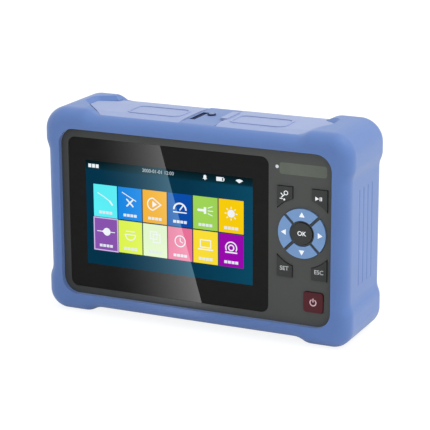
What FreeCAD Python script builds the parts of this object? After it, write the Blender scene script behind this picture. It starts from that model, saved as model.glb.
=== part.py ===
"""Handheld optical time domain reflectometer in a rubber boot.

Row frame: millimetres, +X right, +Y to the back, +Z up. The origin is under the
middle of the instrument, on the surface it stands on. Most bodies are drawn about
the middle of the case and are lifted by half of the overall height.
"""
import FreeCAD, Part
import math
import os
import Sketcher

DIMENSIONS = {
    # whole instrument, over the rubber bumpers
    "overall_width": 196.0, "overall_height": 125.0, "overall_depth": 57.0,
    "boot_corner": 14.0, "boot_foot": 12.0, "boot_edge": 8.0, "waist_side": 1.9, "waist_top": 3.0,
    "waist_round": 11.0, "side_low": 36.84, "side_high": 41.56, "top_low": 65.45, "top_high": 70.65,
    "lip_depth": 3.2, "opening_width": 173.2, "opening_height": 101.7, "opening_corner": 10.0,
    "back_opening_width": 168.0, "back_opening_height": 96.0,
    "flute_height": 56.0, "flute_depth": 0.3, "flute_round": 3.2, "flute_pitch": 6.7,
    # hard case
    "case_width": 184.0, "case_height": 112.0, "case_corner": 8.0, "case_wall": 2.5,
    "case_back": 26.0, "back_plate": 8.0, "panel_front": 25.3, "gasket_width": 1.2, "gasket_depth": 0.8,
    "boss_across": 85.0, "boss_up": 49.0, "boss_radius": 3.5, "pilot_radius": 1.3,
    "screw_head_radius": 2.8, "screw_head_depth": 2.2, "head_sink": 3.4, "screw_length": 32.0,
    "pilot_depth": 14.0, "standoff_across": 86.0, "standoff_up": 35.0, "standoff_radius": 2.5,
    "board_pilot": 1.0, "board_pilot_depth": 8.0,
    # display
    "window_left": -81.9, "window_right": 47.2, "window_low": -46.5, "window_high": 45.5,
    "window_corner": 4.5, "window_recess": 1.6, "window_thickness": 1.4, "window_gap": 0.1,
    "active_width": 108.0, "active_height": 64.8, "active_x": -16.6, "active_z": 0.2,
    "lcd_width": 120.7, "lcd_height": 75.8, "lcd_thickness": 2.8, "lcd_frame_thickness": 1.2,
    "lcd_frame_margin": 3.0, "lcd_frame_inset": 8.0, "sight_margin": 1.0, "lit_sink": 0.3,
    # keys
    "pad_x": 68.0, "pad_z": 3.4, "ring_outer": 14.5, "ring_inner": 7.6, "ring_gap": 0.9,
    "enter_radius": 6.3, "corner_inner": 5.9, "corner_outer": 15.2, "corner_high": 26.5,
    "corner_arc": 20.6, "corner_round": 0.8, "power_x": 75.3, "power_z": -36.35, "power_size": 11.8,
    "power_round": 1.7, "key_proud": 0.9, "key_clearance": 0.3, "key_flange": 0.65, "switch_in": 4.0,
    "flange_thickness": 1.0, "flange_gap": 0.3, "led_x": 52.4, "led_z": 40.8, "led_radius": 1.0,
    "led_collar": 1.6, "led_collar_height": 3.0,
    # port bays and flaps
    "bay_left_low": -66.0, "bay_left_high": -14.0, "bay_right_low": 16.0, "bay_right_high": 62.0,
    "bay_half_depth": 13.0, "bay_drop": 14.0, "bay_wall": 1.5, "bay_gap": 0.2,
    "flap_front": -21.5, "flap_axis_y": 19.8, "flap_thickness": 3.9, "flap_lift": 0.3,
    "flap_clearance": 0.45, "flap_rear_gap": 0.7, "flap_left_inner": -11.0, "flap_left_front": -62.0,
    "flap_left_tip": -80.0, "flap_left_rear": -69.0, "flap_right_inner": 12.0,
    "flap_right_front": 64.0, "flap_right_tip": 73.0, "flap_right_rear": 65.5,
    "flap_tip_front": -1.0, "flap_tip_rear": 9.0, "flap_shoulder": 15.0, "flap_valley": 3.2,
    "valley_slope": 50.0, "flap_left_roll": 1.5, "flap_right_roll": 1.8, "flap_slope_from": 8.5,
    "bevel_share": 0.41, "swing_share": 1.2, "brow_from": -13.5, "brow_drop": 1.0,
    "rim_height": 2.3, "rim_slope": 1.2, "rim_round": 2.0,
    "skirt_height": 3.0, "skirt_wall": 1.5, "skirt_gap": 0.5, "skirt_front_gap": 1.0,
    "rod_radius": 0.7, "rod_clearance": 0.05, "rod_anchor": 2.2, "bead_height": 0.5, "bead_width": 1.2,
    "bead_from": 4.0, "bead_length": 35.0, "bead_front": -13.0, "bead_rear": 7.0, "bead_corner": 5.0,
    "tab_length": 18.0, "tab_reach": 3.4, "tab_height": 1.2, "tab_y": 2.0,
    "slot_left": -9.4, "slot_right": -5.7, "slot_front": -11.0, "slot_rear": 8.5,
    "rib_gap": 0.3, "rib_sink": 0.8, "rib_root": 0.5,
    "torch_x": -1.6, "torch_y": 3.4, "torch_radius": 2.6, "lens_radius": 2.4,
    "bezel_radius": 2.5, "bezel_bore": 2.1, "bezel_sink": 0.5,
    # back
    "stand_half": 54.0, "stand_bar": 9.0, "stand_top": 40.0, "stand_low": -46.0,
    "stand_thickness": 5.0, "stand_sink": 0.1, "stand_gap": 0.4, "stand_pin_radius": 1.2,
    "stand_pin_clearance": 0.05, "stand_pin_anchor": 3.0, "stand_corner": 8.0,
    "cover_half": 40.0, "cover_low": -34.5, "cover_high": 24.0, "cover_corner": 4.0,
    "cover_thickness": 2.5, "cover_ledge": 3.5, "cover_screw_x": 30.0, "cover_screw_in": 1.75,
    "groove_from": 5.0, "groove_pitch": 3.0, "groove_half": 14.0, "groove_width": 1.4, "groove_depth": 0.6,
    # boards and what they carry
    "board_front": 12.0, "board_thickness": 1.6, "board_half": 88.0, "board_low": -44.5,
    "board_high": 39.0, "keypad_left": 49.5, "keypad_right": 83.0, "keypad_low": -45.0,
    "keypad_high": 43.5, "keypad_front": 18.0, "keypad_thickness": 1.2, "mat_front": 19.8,
    "mat_thickness": 0.8, "dome_height": 0.6, "dome_radius": 2.2, "switch_radius": 2.6,
    "switch_height": 0.7, "battery_width": 70.0, "battery_height": 50.0, "battery_depth": 18.0,
    "battery_front": 5.0,
    # ports
    "port_height": 9.5, "jack_x": -53.0, "jack_width": 16.0, "jack_depth": 16.0,
    "jack_mouth_width": 11.8, "jack_mouth_depth": 8.0, "jack_mouth_drop": 8.0,
    "usb_x": -34.0, "usb_width": 9.0, "usb_depth": 3.3, "usb_height": 8.0, "usb_wall": 0.3,
    "usb_drop": 6.0, "dc_x": -21.0, "dc_radius": 4.6, "dc_bore": 2.9, "dc_pin": 1.0, "dc_height": 9.0,
    "otdr_x": 39.0, "meter_x": 53.0, "pointer_x": 25.0, "ferrule_bore": 1.26, "ferrule_drop": 8.0,
}

# heights of the middle of the case above the ground, and about that middle
UP = "Dims.overall_height / 2"
CASE_TOP = "Dims.case_height / 2"
WAIST = "(Dims.overall_height / 2 - Dims.waist_top)"
FLAP_UNDER = "(Dims.case_height / 2 + Dims.flap_lift)"
BAY_FLOOR = "Dims.case_height / 2 - Dims.bay_drop"
doc = FreeCAD.newDocument("Reflectometer")
sheet = doc.addObject("Spreadsheet::Sheet", "Dims")
for row, (alias, number) in enumerate(DIMENSIONS.items(), start=1):
    sheet.set(f"A{row}", alias)
    sheet.set(f"B{row}", str(number))
    sheet.setAlias(f"B{row}", alias)
doc.recompute()
subparts = []


# ---------------------------------------------------------------- helpers

def number(expression):
    """The value of an expression on the sheet, as a plain float."""
    found = sheet.evalExpression(str(expression))
    return float(found.Value if hasattr(found, "Value") else found)


def bind(thing, field, expression):
    """Bind one property of an object to an expression on the sheet."""
    thing.setExpression(field, str(expression))


def place(thing, x="0", y="0", z=UP):
    """Bind the place of a sub-part."""
    for axis, expression in (("x", x), ("y", y), ("z", z)):
        bind(thing, f".Placement.Base.{axis}", expression)


def keep(thing, label):
    """List a finished sub-part under its own label."""
    thing.Label = label
    subparts.append(thing)
    return thing


def new_body(label, x="0", y="0", z=UP):
    """A PartDesign body that becomes one sub-part."""
    body = doc.addObject("PartDesign::Body", label)
    place(body, x, y, z)
    return keep(body, label)


def new_sketch(body, role, offset="0"):
    """A sketch on an origin plane of its own body, moved along the plane's normal."""
    sketch = body.newObject("Sketcher::SketchObject", body.Label + "_sketch")
    plane = [item for item in body.Origin.OriginFeatures if item.Role == role][0]
    sketch.AttachmentSupport = [(plane, "")]
    sketch.MapMode = "FlatFace"
    bind(sketch, ".AttachmentOffset.Base.z", offset)
    return sketch


def datum(sketch, kind, ids, expression):
    """A dimension whose value is bound to the sheet."""
    index = sketch.addConstraint(Sketcher.Constraint(kind, *ids, abs(number(expression))))
    sign = "-1 * " if number(expression) < 0 else ""
    bind(sketch, f"Constraints[{index}]", f"{sign}({expression})")


def pin_point(sketch, geometry, end, x, y):
    """Hold one point of the sketch at a place read from the sheet."""
    for kind, axis, expression in (("DistanceX", -2, x), ("DistanceY", -1, y)):
        here = number(expression)
        if abs(here) < 1e-9:
            sketch.addConstraint(Sketcher.Constraint("PointOnObject", geometry, end, axis))
            continue
        ids = (-1, 1, geometry, end) if here > 0 else (geometry, end, -1, 1)
        datum(sketch, kind, ids, expression)


def outline(sketch, corners):
    """A closed outline from corners (x, y, radius); radius None leaves a corner sharp."""
    points = [FreeCAD.Vector(number(x), number(y), 0) for x, y, radius in corners]
    count = len(corners)
    leave, arrive = [], []
    for i, (x, y, radius) in enumerate(corners):
        back = (points[i - 1] - points[i]).normalize()
        ahead = (points[(i + 1) % count] - points[i]).normalize()
        reach = 0.0
        if radius is not None:
            reach = number(radius) / math.tan(back.getAngle(ahead) / 2)
        arrive.append(points[i] + back * reach)
        leave.append(points[i] + ahead * reach)
    lines = [sketch.addGeometry(Part.LineSegment(leave[i], arrive[(i + 1) % count]), False)
             for i in range(count)]
    for i, (x, y, radius) in enumerate(corners):
        before = lines[i - 1]
        after = lines[i]
        if radius is None:
            sketch.addConstraint(Sketcher.Constraint("Coincident", before, 2, after, 1))
            pin_point(sketch, after, 1, x, y)
            continue
        back = (arrive[i] - points[i]).normalize()
        ahead = (leave[i] - points[i]).normalize()
        half_angle = back.getAngle(ahead) / 2
        bisector = (back + ahead).normalize()
        bulge = number(radius) / math.sin(half_angle) - number(radius)
        curve = Part.Arc(arrive[i], points[i] + bisector * bulge, leave[i])
        arc = sketch.addGeometry(curve, False)
        starts_here = sketch.getPoint(arc, 1).distanceToPoint(arrive[i]) < 1e-6
        first, last = (1, 2) if starts_here else (2, 1)
        apex = sketch.addGeometry(Part.Point(points[i]), True)
        sketch.addConstraint([
            Sketcher.Constraint("Tangent", before, 2, arc, first),
            Sketcher.Constraint("Tangent", after, 1, arc, last),
            Sketcher.Constraint("PointOnObject", apex, 1, before),
            Sketcher.Constraint("PointOnObject", apex, 1, after)])
        datum(sketch, "Radius", (arc,), radius)
        pin_point(sketch, apex, 1, x, y)
    return sketch


def frame_corners(left, right, low, high, radius):
    """The four corners of an upright rectangle."""
    return [(left, low, radius), (right, low, radius), (right, high, radius), (left, high, radius)]


def centred(width, height, radius=None):
    """The four corners of a rectangle about the sketch's origin."""
    return frame_corners(f"-({width}) / 2", f"({width}) / 2", f"-({height}) / 2", f"({height}) / 2", radius)


def disc(sketch, x, y, radius):
    """A circle bound to the sheet."""
    centre = FreeCAD.Vector(number(x), number(y), 0)
    circle = sketch.addGeometry(Part.Circle(centre, FreeCAD.Vector(0, 0, 1), number(radius)), False)
    datum(sketch, "Radius", (circle,), radius)
    pin_point(sketch, circle, 3, x, y)
    return sketch


def pad(body, sketch, length, reversed_way=False, taper=None):
    """Pad a sketch along its plane's normal."""
    feature = body.newObject("PartDesign::Pad", body.Label + "_pad")
    feature.Profile = sketch
    feature.Reversed = reversed_way
    bind(feature, "Length", length)
    if taper is not None:
        bind(feature, "TaperAngle", taper)
    sketch.Visibility = False
    doc.recompute()
    return feature


def pocket(body, sketch, length, reversed_way=False, taper=None):
    """Cut a sketch against its plane's normal, and make sure that it cut something."""
    before = body.Tip.Shape.Volume
    feature = body.newObject("PartDesign::Pocket", body.Label + "_pocket")
    feature.Profile = sketch
    feature.Reversed = reversed_way
    bind(feature, "Length", length)
    if taper is not None:
        bind(feature, "TaperAngle", taper)
    doc.recompute()
    if not feature.Shape.Volume < before - 1e-3:
        raise RuntimeError(f"{feature.Label} of {body.Label} cuts nothing")
    return feature


def round_edges(body, radius, wanted):
    """Fillet the edges of the body's tip that wanted picks."""
    base = body.Tip
    names = [f"Edge{i}" for i, edge in enumerate(base.Shape.Edges, start=1) if wanted(edge)]
    feature = body.newObject("PartDesign::Fillet", body.Label + "_edges")
    feature.Base = (base, names)
    bind(feature, "Radius", radius)
    doc.recompute()
    return feature


def flat_at(edge, axis, place_along):
    """True for an edge that lies in one plane across an axis."""
    box = edge.BoundBox
    low, high = {"x": (box.XMin, box.XMax), "y": (box.YMin, box.YMax), "z": (box.ZMin, box.ZMax)}[axis]
    return abs(low - place_along) < 1e-4 and abs(high - place_along) < 1e-4


def along_depth(edge):
    """True for a straight edge that runs from front to back."""
    box = edge.BoundBox
    return box.XLength < 1e-4 and box.ZLength < 1e-4 and box.YLength > 0.1


def block(label, x, y, z, width, depth, height):
    """A box by its low corner and its sizes."""
    box = doc.addObject("Part::Box", label)
    for field, expression in (("Length", width), ("Width", depth), ("Height", height)):
        bind(box, field, expression)
    place(box, x, y, z)
    return box


def drum(label, x, y, z, radius, length, axis="y"):
    """A cylinder from its base centre along +X, +Y or +Z."""
    tube = doc.addObject("Part::Cylinder", label)
    bind(tube, "Radius", radius)
    bind(tube, "Height", length)
    turns = {"x": ((0, 1, 0), 90), "y": ((1, 0, 0), -90), "z": ((0, 0, 1), 0)}
    direction, angle = turns[axis]
    tube.Placement = FreeCAD.Placement(FreeCAD.Vector(), FreeCAD.Rotation(FreeCAD.Vector(*direction), angle))
    place(tube, x, y, z)
    return tube


def cut(label, base, tools):
    """One object less some others."""
    tool = tools[0] if len(tools) == 1 else fuse(label + "_tools", tools)
    result = doc.addObject("Part::Cut", label)
    result.Base = base
    result.Tool = tool
    return result


def fuse(label, pieces):
    """Some objects joined to one."""
    result = doc.addObject("Part::MultiFuse", label)
    result.Shapes = pieces
    return result


def up(expression):
    """A height about the middle of the case, as a height in the row frame."""
    return f"{UP} + ({expression})"


# ---------------------------------------------------------------- rubber boot

def boot_outline():
    """Half-size outline of the boot with its four corner bumpers, as corners of a polygon."""
    half_x = "Dims.overall_width / 2"
    half_z = "Dims.overall_height / 2"
    waist = "Dims.waist_round"
    quarter = [
        (f"{half_x} - Dims.waist_side", "Dims.side_low", waist),
        (half_x, "Dims.side_high", waist),
        (half_x, half_z, None),
        ("Dims.top_high", half_z, waist),
        ("Dims.top_low", f"{half_z} - Dims.waist_top", waist),
    ]
    corners = []
    for sign_x, sign_z in ((1, 1), (-1, 1), (-1, -1), (1, -1)):
        corner = "Dims.boot_corner" if sign_z > 0 else "Dims.boot_foot"
        part = [(f"{sign_x} * ({x})", f"{sign_z} * ({z})", radius or corner) for x, z, radius in quarter]
        corners += part if sign_x * sign_z > 0 else part[::-1]
    return corners


def flap_outline(side, grow, rear):
    """Corners of a port flap in plan up to rear; grow widens it, most where it swings past the boot."""
    sign = {"left": -1, "right": 1}[side]
    name = f"Dims.flap_{side}_"
    front = f"Dims.flap_front - ({grow})"
    bevel = f"Dims.bevel_share * ({grow})"
    swing = f"Dims.swing_share * ({grow})"
    return [
        (f"{name}inner - {sign} * ({grow})", front, "1.5"),
        (f"{name}front + {sign} * {bevel}", front, "2"),
        (f"{name}tip + {sign} * ({grow})", f"Dims.flap_tip_front - {bevel}", "4"),
        (f"{name}tip + {sign} * ({grow})", f"Dims.flap_tip_rear + {swing}", "3"),
        (f"{name}rear + {sign} * ({grow})", f"Dims.flap_shoulder + {swing}", None),
        (f"{name}rear + {sign} * ({grow})", rear, None),
        (f"{name}inner - {sign} * ({grow})", rear, None),
    ]


def protective_boot():
    """Soft rubber boot: waisted between its bumpers, rounded front and back, open both ways."""
    body = new_body("protective_boot")
    pad(body, outline(new_sketch(body, "XZ_Plane", "-Dims.overall_depth / 2"), boot_outline()),
        "Dims.overall_depth")
    end = number("Dims.overall_depth / 2")
    round_edges(body, "Dims.boot_edge", lambda edge: flat_at(edge, "y", end) or flat_at(edge, "y", -end))
    shell = new_sketch(body, "XZ_Plane", "Dims.panel_front")
    outline(shell, centred("Dims.case_width", "Dims.case_height", "Dims.case_corner"))
    pocket(body, shell, "Dims.panel_front + Dims.case_back")
    front = new_sketch(body, "XZ_Plane", "Dims.overall_depth / 2 + 1")
    outline(front, centred("Dims.opening_width", "Dims.opening_height", "Dims.opening_corner"))
    pocket(body, front, "Dims.lip_depth + 2")
    back = new_sketch(body, "XZ_Plane", "-Dims.overall_depth / 2 - 1")
    outline(back, centred("Dims.back_opening_width", "Dims.back_opening_height", "Dims.opening_corner"))
    pocket(body, back, "6", reversed_way=True)
    for side in ("left", "right"):
        flap_well(body, side)
    torch = new_sketch(body, "XY_Plane", f"{WAIST} + 1")
    pocket(body, disc(torch, "Dims.torch_x", "Dims.torch_y", "Dims.torch_radius"), "Dims.waist_top + 2")
    slot = new_sketch(body, "XY_Plane", f"{WAIST} + 1")
    pocket(body, outline(slot, slot_corners("0", "Dims.slot_front", "Dims.slot_rear")), "Dims.waist_top + 2")
    grip_flutes(body)
    return body


def flap_well(body, side):
    """The seat of a flap in the boot: its well, the valley round it, a lower rim behind it and its rod."""
    rear = f"Dims.flap_axis_y + Dims.flap_{side}_roll + Dims.flap_rear_gap"
    well = new_sketch(body, "XY_Plane", f"{CASE_TOP} - 1")
    outline(well, flap_outline(side, "Dims.flap_clearance", rear))
    pocket(body, well, "Dims.flap_thickness + 1.3", reversed_way=True)
    valley = new_sketch(body, "XY_Plane", f"{CASE_TOP} + Dims.flap_thickness")
    outline(valley, flap_outline(side, "Dims.flap_clearance", rear))
    pocket(body, valley, "Dims.flap_valley", reversed_way=True, taper="Dims.valley_slope")
    sign = {"left": -1, "right": 1}[side]
    inner, outer = sorted(flap_span(side, "Dims.flap_clearance"), key=lambda x: abs(number(x)))
    floor = f"({CASE_TOP} + Dims.rim_height)"
    top = "(Dims.overall_height / 2 + 1)"
    rim = new_sketch(body, "XZ_Plane", f"-({rear} - 1)")
    outline(rim, [(inner, floor, None), (outer, floor, "Dims.rim_round"),
                  (f"{outer} + {sign} * Dims.rim_slope * ({top} - {floor})", top, None), (inner, top, None)])
    pocket(body, rim, "Dims.overall_depth / 2")
    across_discs(body, [rod_span(side)], "Dims.flap_axis_y", flap_axis_z(side), "Dims.rod_radius", pocket)


def slot_corners(inset, front, rear):
    """The slot beside the left flap, or a hard rib of the case that shows in it, from front to rear."""
    return frame_corners(f"Dims.slot_left + {inset}", f"Dims.slot_right - {inset}", front, rear, None)


def slot_rib(body, front, rear):
    """The half of that rib which stands on one shell of the case."""
    foot = f"({CASE_TOP} - Dims.rib_root)"
    rib = outline(new_sketch(body, "XY_Plane", foot), slot_corners("Dims.rib_gap", front, rear))
    pad(body, rib, f"{WAIST} - Dims.rib_sink - {foot}")


def grip_flutes(body):
    """Four shallow upright flutes in the waist of each side."""
    sketch = new_sketch(body, "XY_Plane", "Dims.flute_height / 2")
    middle = "(Dims.overall_width / 2 - Dims.waist_side - Dims.flute_depth + Dims.flute_round)"
    for sign in (-1, 1):
        for i in (-1.5, -0.5, 0.5, 1.5):
            disc(sketch, f"{sign} * {middle}", f"{i} * Dims.flute_pitch", "Dims.flute_round")
    pocket(body, sketch, "Dims.flute_height")


# ---------------------------------------------------------------- outlines of the keys

def bent_outline(sketch, centre, corners):
    """A closed outline; a corner (x, y, bend) runs to the next as a line, or as an arc about centre."""
    middle = FreeCAD.Vector(number(centre[0]), number(centre[1]), 0)
    points = [FreeCAD.Vector(number(x), number(y), 0) for x, y, bend in corners]
    edges = []
    for i, (x, y, bend) in enumerate(corners):
        here, there = points[i], points[(i + 1) % len(points)]
        if bend is None:
            edges.append((sketch.addGeometry(Part.LineSegment(here, there), False), 1, 2))
            continue
        way = ((here + there) * 0.5 - middle).normalize()
        arc = sketch.addGeometry(Part.Arc(here, middle + way * number(bend), there), False)
        forward = sketch.getPoint(arc, 1).distanceToPoint(here) < 1e-6
        edges.append((arc, 1, 2) if forward else (arc, 2, 1))
        datum(sketch, "Radius", (arc,), bend)
    for i, (x, y, bend) in enumerate(corners):
        before, after = edges[i - 1], edges[i]
        sketch.addConstraint(Sketcher.Constraint("Coincident", before[0], before[2], after[0], after[1]))
        pin_point(sketch, after[0], after[1], x, y)
    return sketch


def arrow_outline(sketch, quarter, grow, centre=("0", "0")):
    """One quarter of the ring of arrow keys; quarter 0 is right, 1 up, 2 left and 3 down."""
    outer = f"(Dims.ring_outer + {grow})"
    inward = f"min({grow}; Dims.key_clearance)"
    inner = f"(Dims.ring_inner - {inward})"
    gap = f"(Dims.ring_gap - {inward})"
    side, turn = ((1, 0), (0, 1), (-1, 0), (0, -1))[quarter]
    corners = []
    for radius, sign, bend in ((outer, -1, outer), (outer, 1, None), (inner, 1, inner), (inner, -1, None)):
        along = f"(sqrt({radius}^2 - {gap}^2) + {gap}) / sqrt(2)"
        across = f"{sign} * (sqrt({radius}^2 - {gap}^2) - {gap}) / sqrt(2)"
        corners.append((f"{centre[0]} + {side} * {along} - {turn} * {across}",
                        f"{centre[1]} + {turn} * {along} + {side} * {across}", bend))
    return bent_outline(sketch, centre, corners)


def corner_outline(sketch, sign_x, sign_z, grow, centre=("0", "0")):
    """A corner key: a rectangle whose inner corner is an arc about the arrow ring."""
    arc = f"(Dims.corner_arc - {grow})"
    near = f"(Dims.corner_inner - {grow})"
    far = f"(Dims.corner_outer + {grow})"
    high = f"(Dims.corner_high + {grow})"
    corners = [(near, high, None), (far, high, None),
               (far, f"sqrt({arc}^2 - {far}^2)", arc), (near, f"sqrt({arc}^2 - {near}^2)", None)]
    return bent_outline(sketch, centre, [
        (f"{centre[0]} + {sign_x} * {x}", f"{centre[1]} + {sign_z} * {z}", bend) for x, z, bend in corners])


def enter_outline(sketch, grow, centre=("0", "0")):
    """The round key in the middle of the ring."""
    return disc(sketch, centre[0], centre[1], f"Dims.enter_radius + {grow}")


def power_outline(sketch, grow, centre=("0", "0")):
    """The square power key."""
    half = f"(Dims.power_size / 2 + {grow})"
    return outline(sketch, frame_corners(f"{centre[0]} - {half}", f"{centre[0]} + {half}",
                                         f"{centre[1]} - {half}", f"{centre[1]} + {half}",
                                         f"Dims.power_round + {grow} / 2"))


PAD = ("Dims.pad_x", "Dims.pad_z")
POWER = ("Dims.power_x", "Dims.power_z")
KEYS = {
    "right_key": (PAD, lambda sketch, grow, centre: arrow_outline(sketch, 0, grow, centre)),
    "up_key": (PAD, lambda sketch, grow, centre: arrow_outline(sketch, 1, grow, centre)),
    "left_key": (PAD, lambda sketch, grow, centre: arrow_outline(sketch, 2, grow, centre)),
    "down_key": (PAD, lambda sketch, grow, centre: arrow_outline(sketch, 3, grow, centre)),
    "enter_key": (PAD, enter_outline),
    "search_key": (PAD, lambda sketch, grow, centre: corner_outline(sketch, -1, 1, grow, centre)),
    "run_key": (PAD, lambda sketch, grow, centre: corner_outline(sketch, 1, 1, grow, centre)),
    "setup_key": (PAD, lambda sketch, grow, centre: corner_outline(sketch, -1, -1, grow, centre)),
    "escape_key": (PAD, lambda sketch, grow, centre: corner_outline(sketch, 1, -1, grow, centre)),
    "power_key": (POWER, power_outline),
}


def key_spots():
    """Where the dome and the switch under each key lie, about the middle of the case."""
    ring = "(Dims.ring_outer + Dims.ring_inner) / 2"
    corner_x = "(Dims.corner_inner + Dims.corner_outer) / 2"
    corner_z = "(Dims.corner_high - Dims.switch_in)"
    spots = [(f"Dims.pad_x + {x} * {ring}", f"Dims.pad_z + {z} * {ring}")
             for x, z in ((1, 0), (0, 1), (-1, 0), (0, -1))]
    spots.append(PAD)
    spots += [(f"Dims.pad_x + {x} * {corner_x}", f"Dims.pad_z + {z} * {corner_z}")
              for x in (-1, 1) for z in (1, -1)]
    spots.append(POWER)
    return spots


def key(label):
    """A key cap that stands a little proud of the panel, with a flange behind the panel."""
    centre, shape = KEYS[label]
    body = new_body(label, centre[0], "0", up(centre[1]))
    foot = "Dims.panel_front - Dims.case_wall - Dims.flange_gap - Dims.flange_thickness"
    cap = new_sketch(body, "XZ_Plane", foot)
    shape(cap, "0", ("0", "0"))
    pad(body, cap, f"Dims.panel_front + Dims.key_proud - ({foot})")
    if label in ("search_key", "run_key", "setup_key", "escape_key"):
        round_edges(body, "Dims.corner_round / 2", along_depth)
    flange = new_sketch(body, "XZ_Plane", foot)
    shape(flange, "Dims.key_flange", ("0", "0"))
    pad(body, flange, "Dims.flange_thickness")
    return body


# ---------------------------------------------------------------- hard case

def four_discs(sketch, across, height, radius):
    """A disc near each corner of the case."""
    for sign_x in (-1, 1):
        for sign_z in (-1, 1):
            disc(sketch, f"{sign_x} * Dims.{across}", f"{sign_z} * Dims.{height}", radius)
    return sketch


def bay_range(side, grow):
    """The low and high X of a port bay, widened by grow."""
    return f"Dims.bay_{side}_low - ({grow})", f"Dims.bay_{side}_high + ({grow})"


def cut_top(body):
    """Openings in the top wall of the case for the port bays."""
    grow = "(Dims.bay_wall + Dims.bay_gap)"
    for side in ("left", "right"):
        low, high = bay_range(side, grow)
        sketch = new_sketch(body, "XY_Plane", "Dims.case_height / 2 + 1")
        outline(sketch, frame_corners(low, high, f"-(Dims.bay_half_depth + {grow})",
                                      f"Dims.bay_half_depth + {grow}", "4"))
        pocket(body, sketch, "Dims.case_wall + 2")


def window_corners(grow):
    """The display window's outline."""
    return frame_corners(f"Dims.window_left - {grow}", f"Dims.window_right + {grow}",
                         f"Dims.window_low - {grow}", f"Dims.window_high + {grow}",
                         f"Dims.window_corner + {grow}")


def active_corners(grow):
    """The lit area of the display, widened by grow."""
    return frame_corners(f"Dims.active_x - Dims.active_width / 2 - {grow}",
                         f"Dims.active_x + Dims.active_width / 2 + {grow}",
                         f"Dims.active_z - Dims.active_height / 2 - {grow}",
                         f"Dims.active_z + Dims.active_height / 2 + {grow}", None)


def front_housing():
    """Front shell: the panel with its window recess and key openings, bosses and standoffs."""
    body = new_body("front_housing")
    outer = outline(new_sketch(body, "XZ_Plane"),
                    centred("Dims.case_width", "Dims.case_height", "Dims.case_corner"))
    pad(body, outer, "Dims.panel_front")
    inner = outline(new_sketch(body, "XZ_Plane"),
                    centred("Dims.case_width - 2 * Dims.case_wall", "Dims.case_height - 2 * Dims.case_wall",
                            "Dims.case_corner - Dims.case_wall"))
    pocket(body, inner, "Dims.panel_front - Dims.case_wall", reversed_way=True)
    recess = outline(new_sketch(body, "XZ_Plane", "Dims.panel_front"), window_corners("Dims.window_gap"))
    pocket(body, recess, "Dims.window_recess")
    sight = outline(new_sketch(body, "XZ_Plane", "Dims.panel_front"), active_corners("Dims.sight_margin"))
    pocket(body, sight, "Dims.case_wall + 1")
    for names in (("right_key", "up_key", "left_key", "down_key", "enter_key"),
                  ("search_key", "run_key", "setup_key", "escape_key", "power_key")):
        openings = new_sketch(body, "XZ_Plane", "Dims.panel_front")
        for name in names:
            centre, shape = KEYS[name]
            shape(openings, "Dims.key_clearance", centre)
        pocket(body, openings, "Dims.case_wall + 1")
    lamp = new_sketch(body, "XZ_Plane", "Dims.panel_front")
    pocket(body, disc(lamp, "Dims.led_x", "Dims.led_z", "Dims.led_radius"), "Dims.case_wall + 1")
    inside = "Dims.panel_front - Dims.case_wall"
    bosses = four_discs(new_sketch(body, "XZ_Plane", inside), "boss_across", "boss_up", "Dims.boss_radius")
    pad(body, bosses, inside, reversed_way=True)
    standoffs = four_discs(new_sketch(body, "XZ_Plane", inside), "standoff_across", "standoff_up",
                           "Dims.standoff_radius")
    pad(body, standoffs, f"{inside} - Dims.board_front", reversed_way=True)
    pilots = four_discs(new_sketch(body, "XZ_Plane"), "boss_across", "boss_up", "Dims.pilot_radius")
    pocket(body, pilots, "Dims.pilot_depth", reversed_way=True)
    small = four_discs(new_sketch(body, "XZ_Plane", "Dims.board_front"), "standoff_across", "standoff_up",
                       "Dims.board_pilot")
    pocket(body, small, "Dims.board_pilot_depth", reversed_way=True)
    slot_rib(body, "Dims.slot_front + Dims.rib_gap", "0")
    cut_top(body)
    return body


def stand_corners(grow):
    """The U of the kickstand, seen from the back; grow widens it all round."""
    far = f"(Dims.stand_half + {grow})"
    near = f"(Dims.stand_half - Dims.stand_bar - {grow})"
    top = f"Dims.stand_top + {grow} * 2"
    low = f"Dims.stand_low - {grow}"
    bar = f"Dims.stand_low + Dims.stand_bar + {grow}"
    return [(f"-{far}", top, None), (f"-{far}", low, "Dims.stand_corner"), (far, low, "Dims.stand_corner"),
            (far, top, None), (near, top, None), (near, bar, "2"), (f"-{near}", bar, "2"),
            (f"-{near}", top, None)]


def stand_axis_y():
    """Depth of the kickstand's hinge axis."""
    return "(Dims.case_back - Dims.stand_sink - Dims.stand_thickness / 2)"


def across_discs(body, spans, y, z, radius, work):
    """Round features along X: spans lists (low x, length) and work is pad or pocket."""
    for low, length in spans:
        sketch = disc(new_sketch(body, "YZ_Plane", low), y, z, radius)
        work(body, sketch, length, reversed_way=work is pocket)


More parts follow.
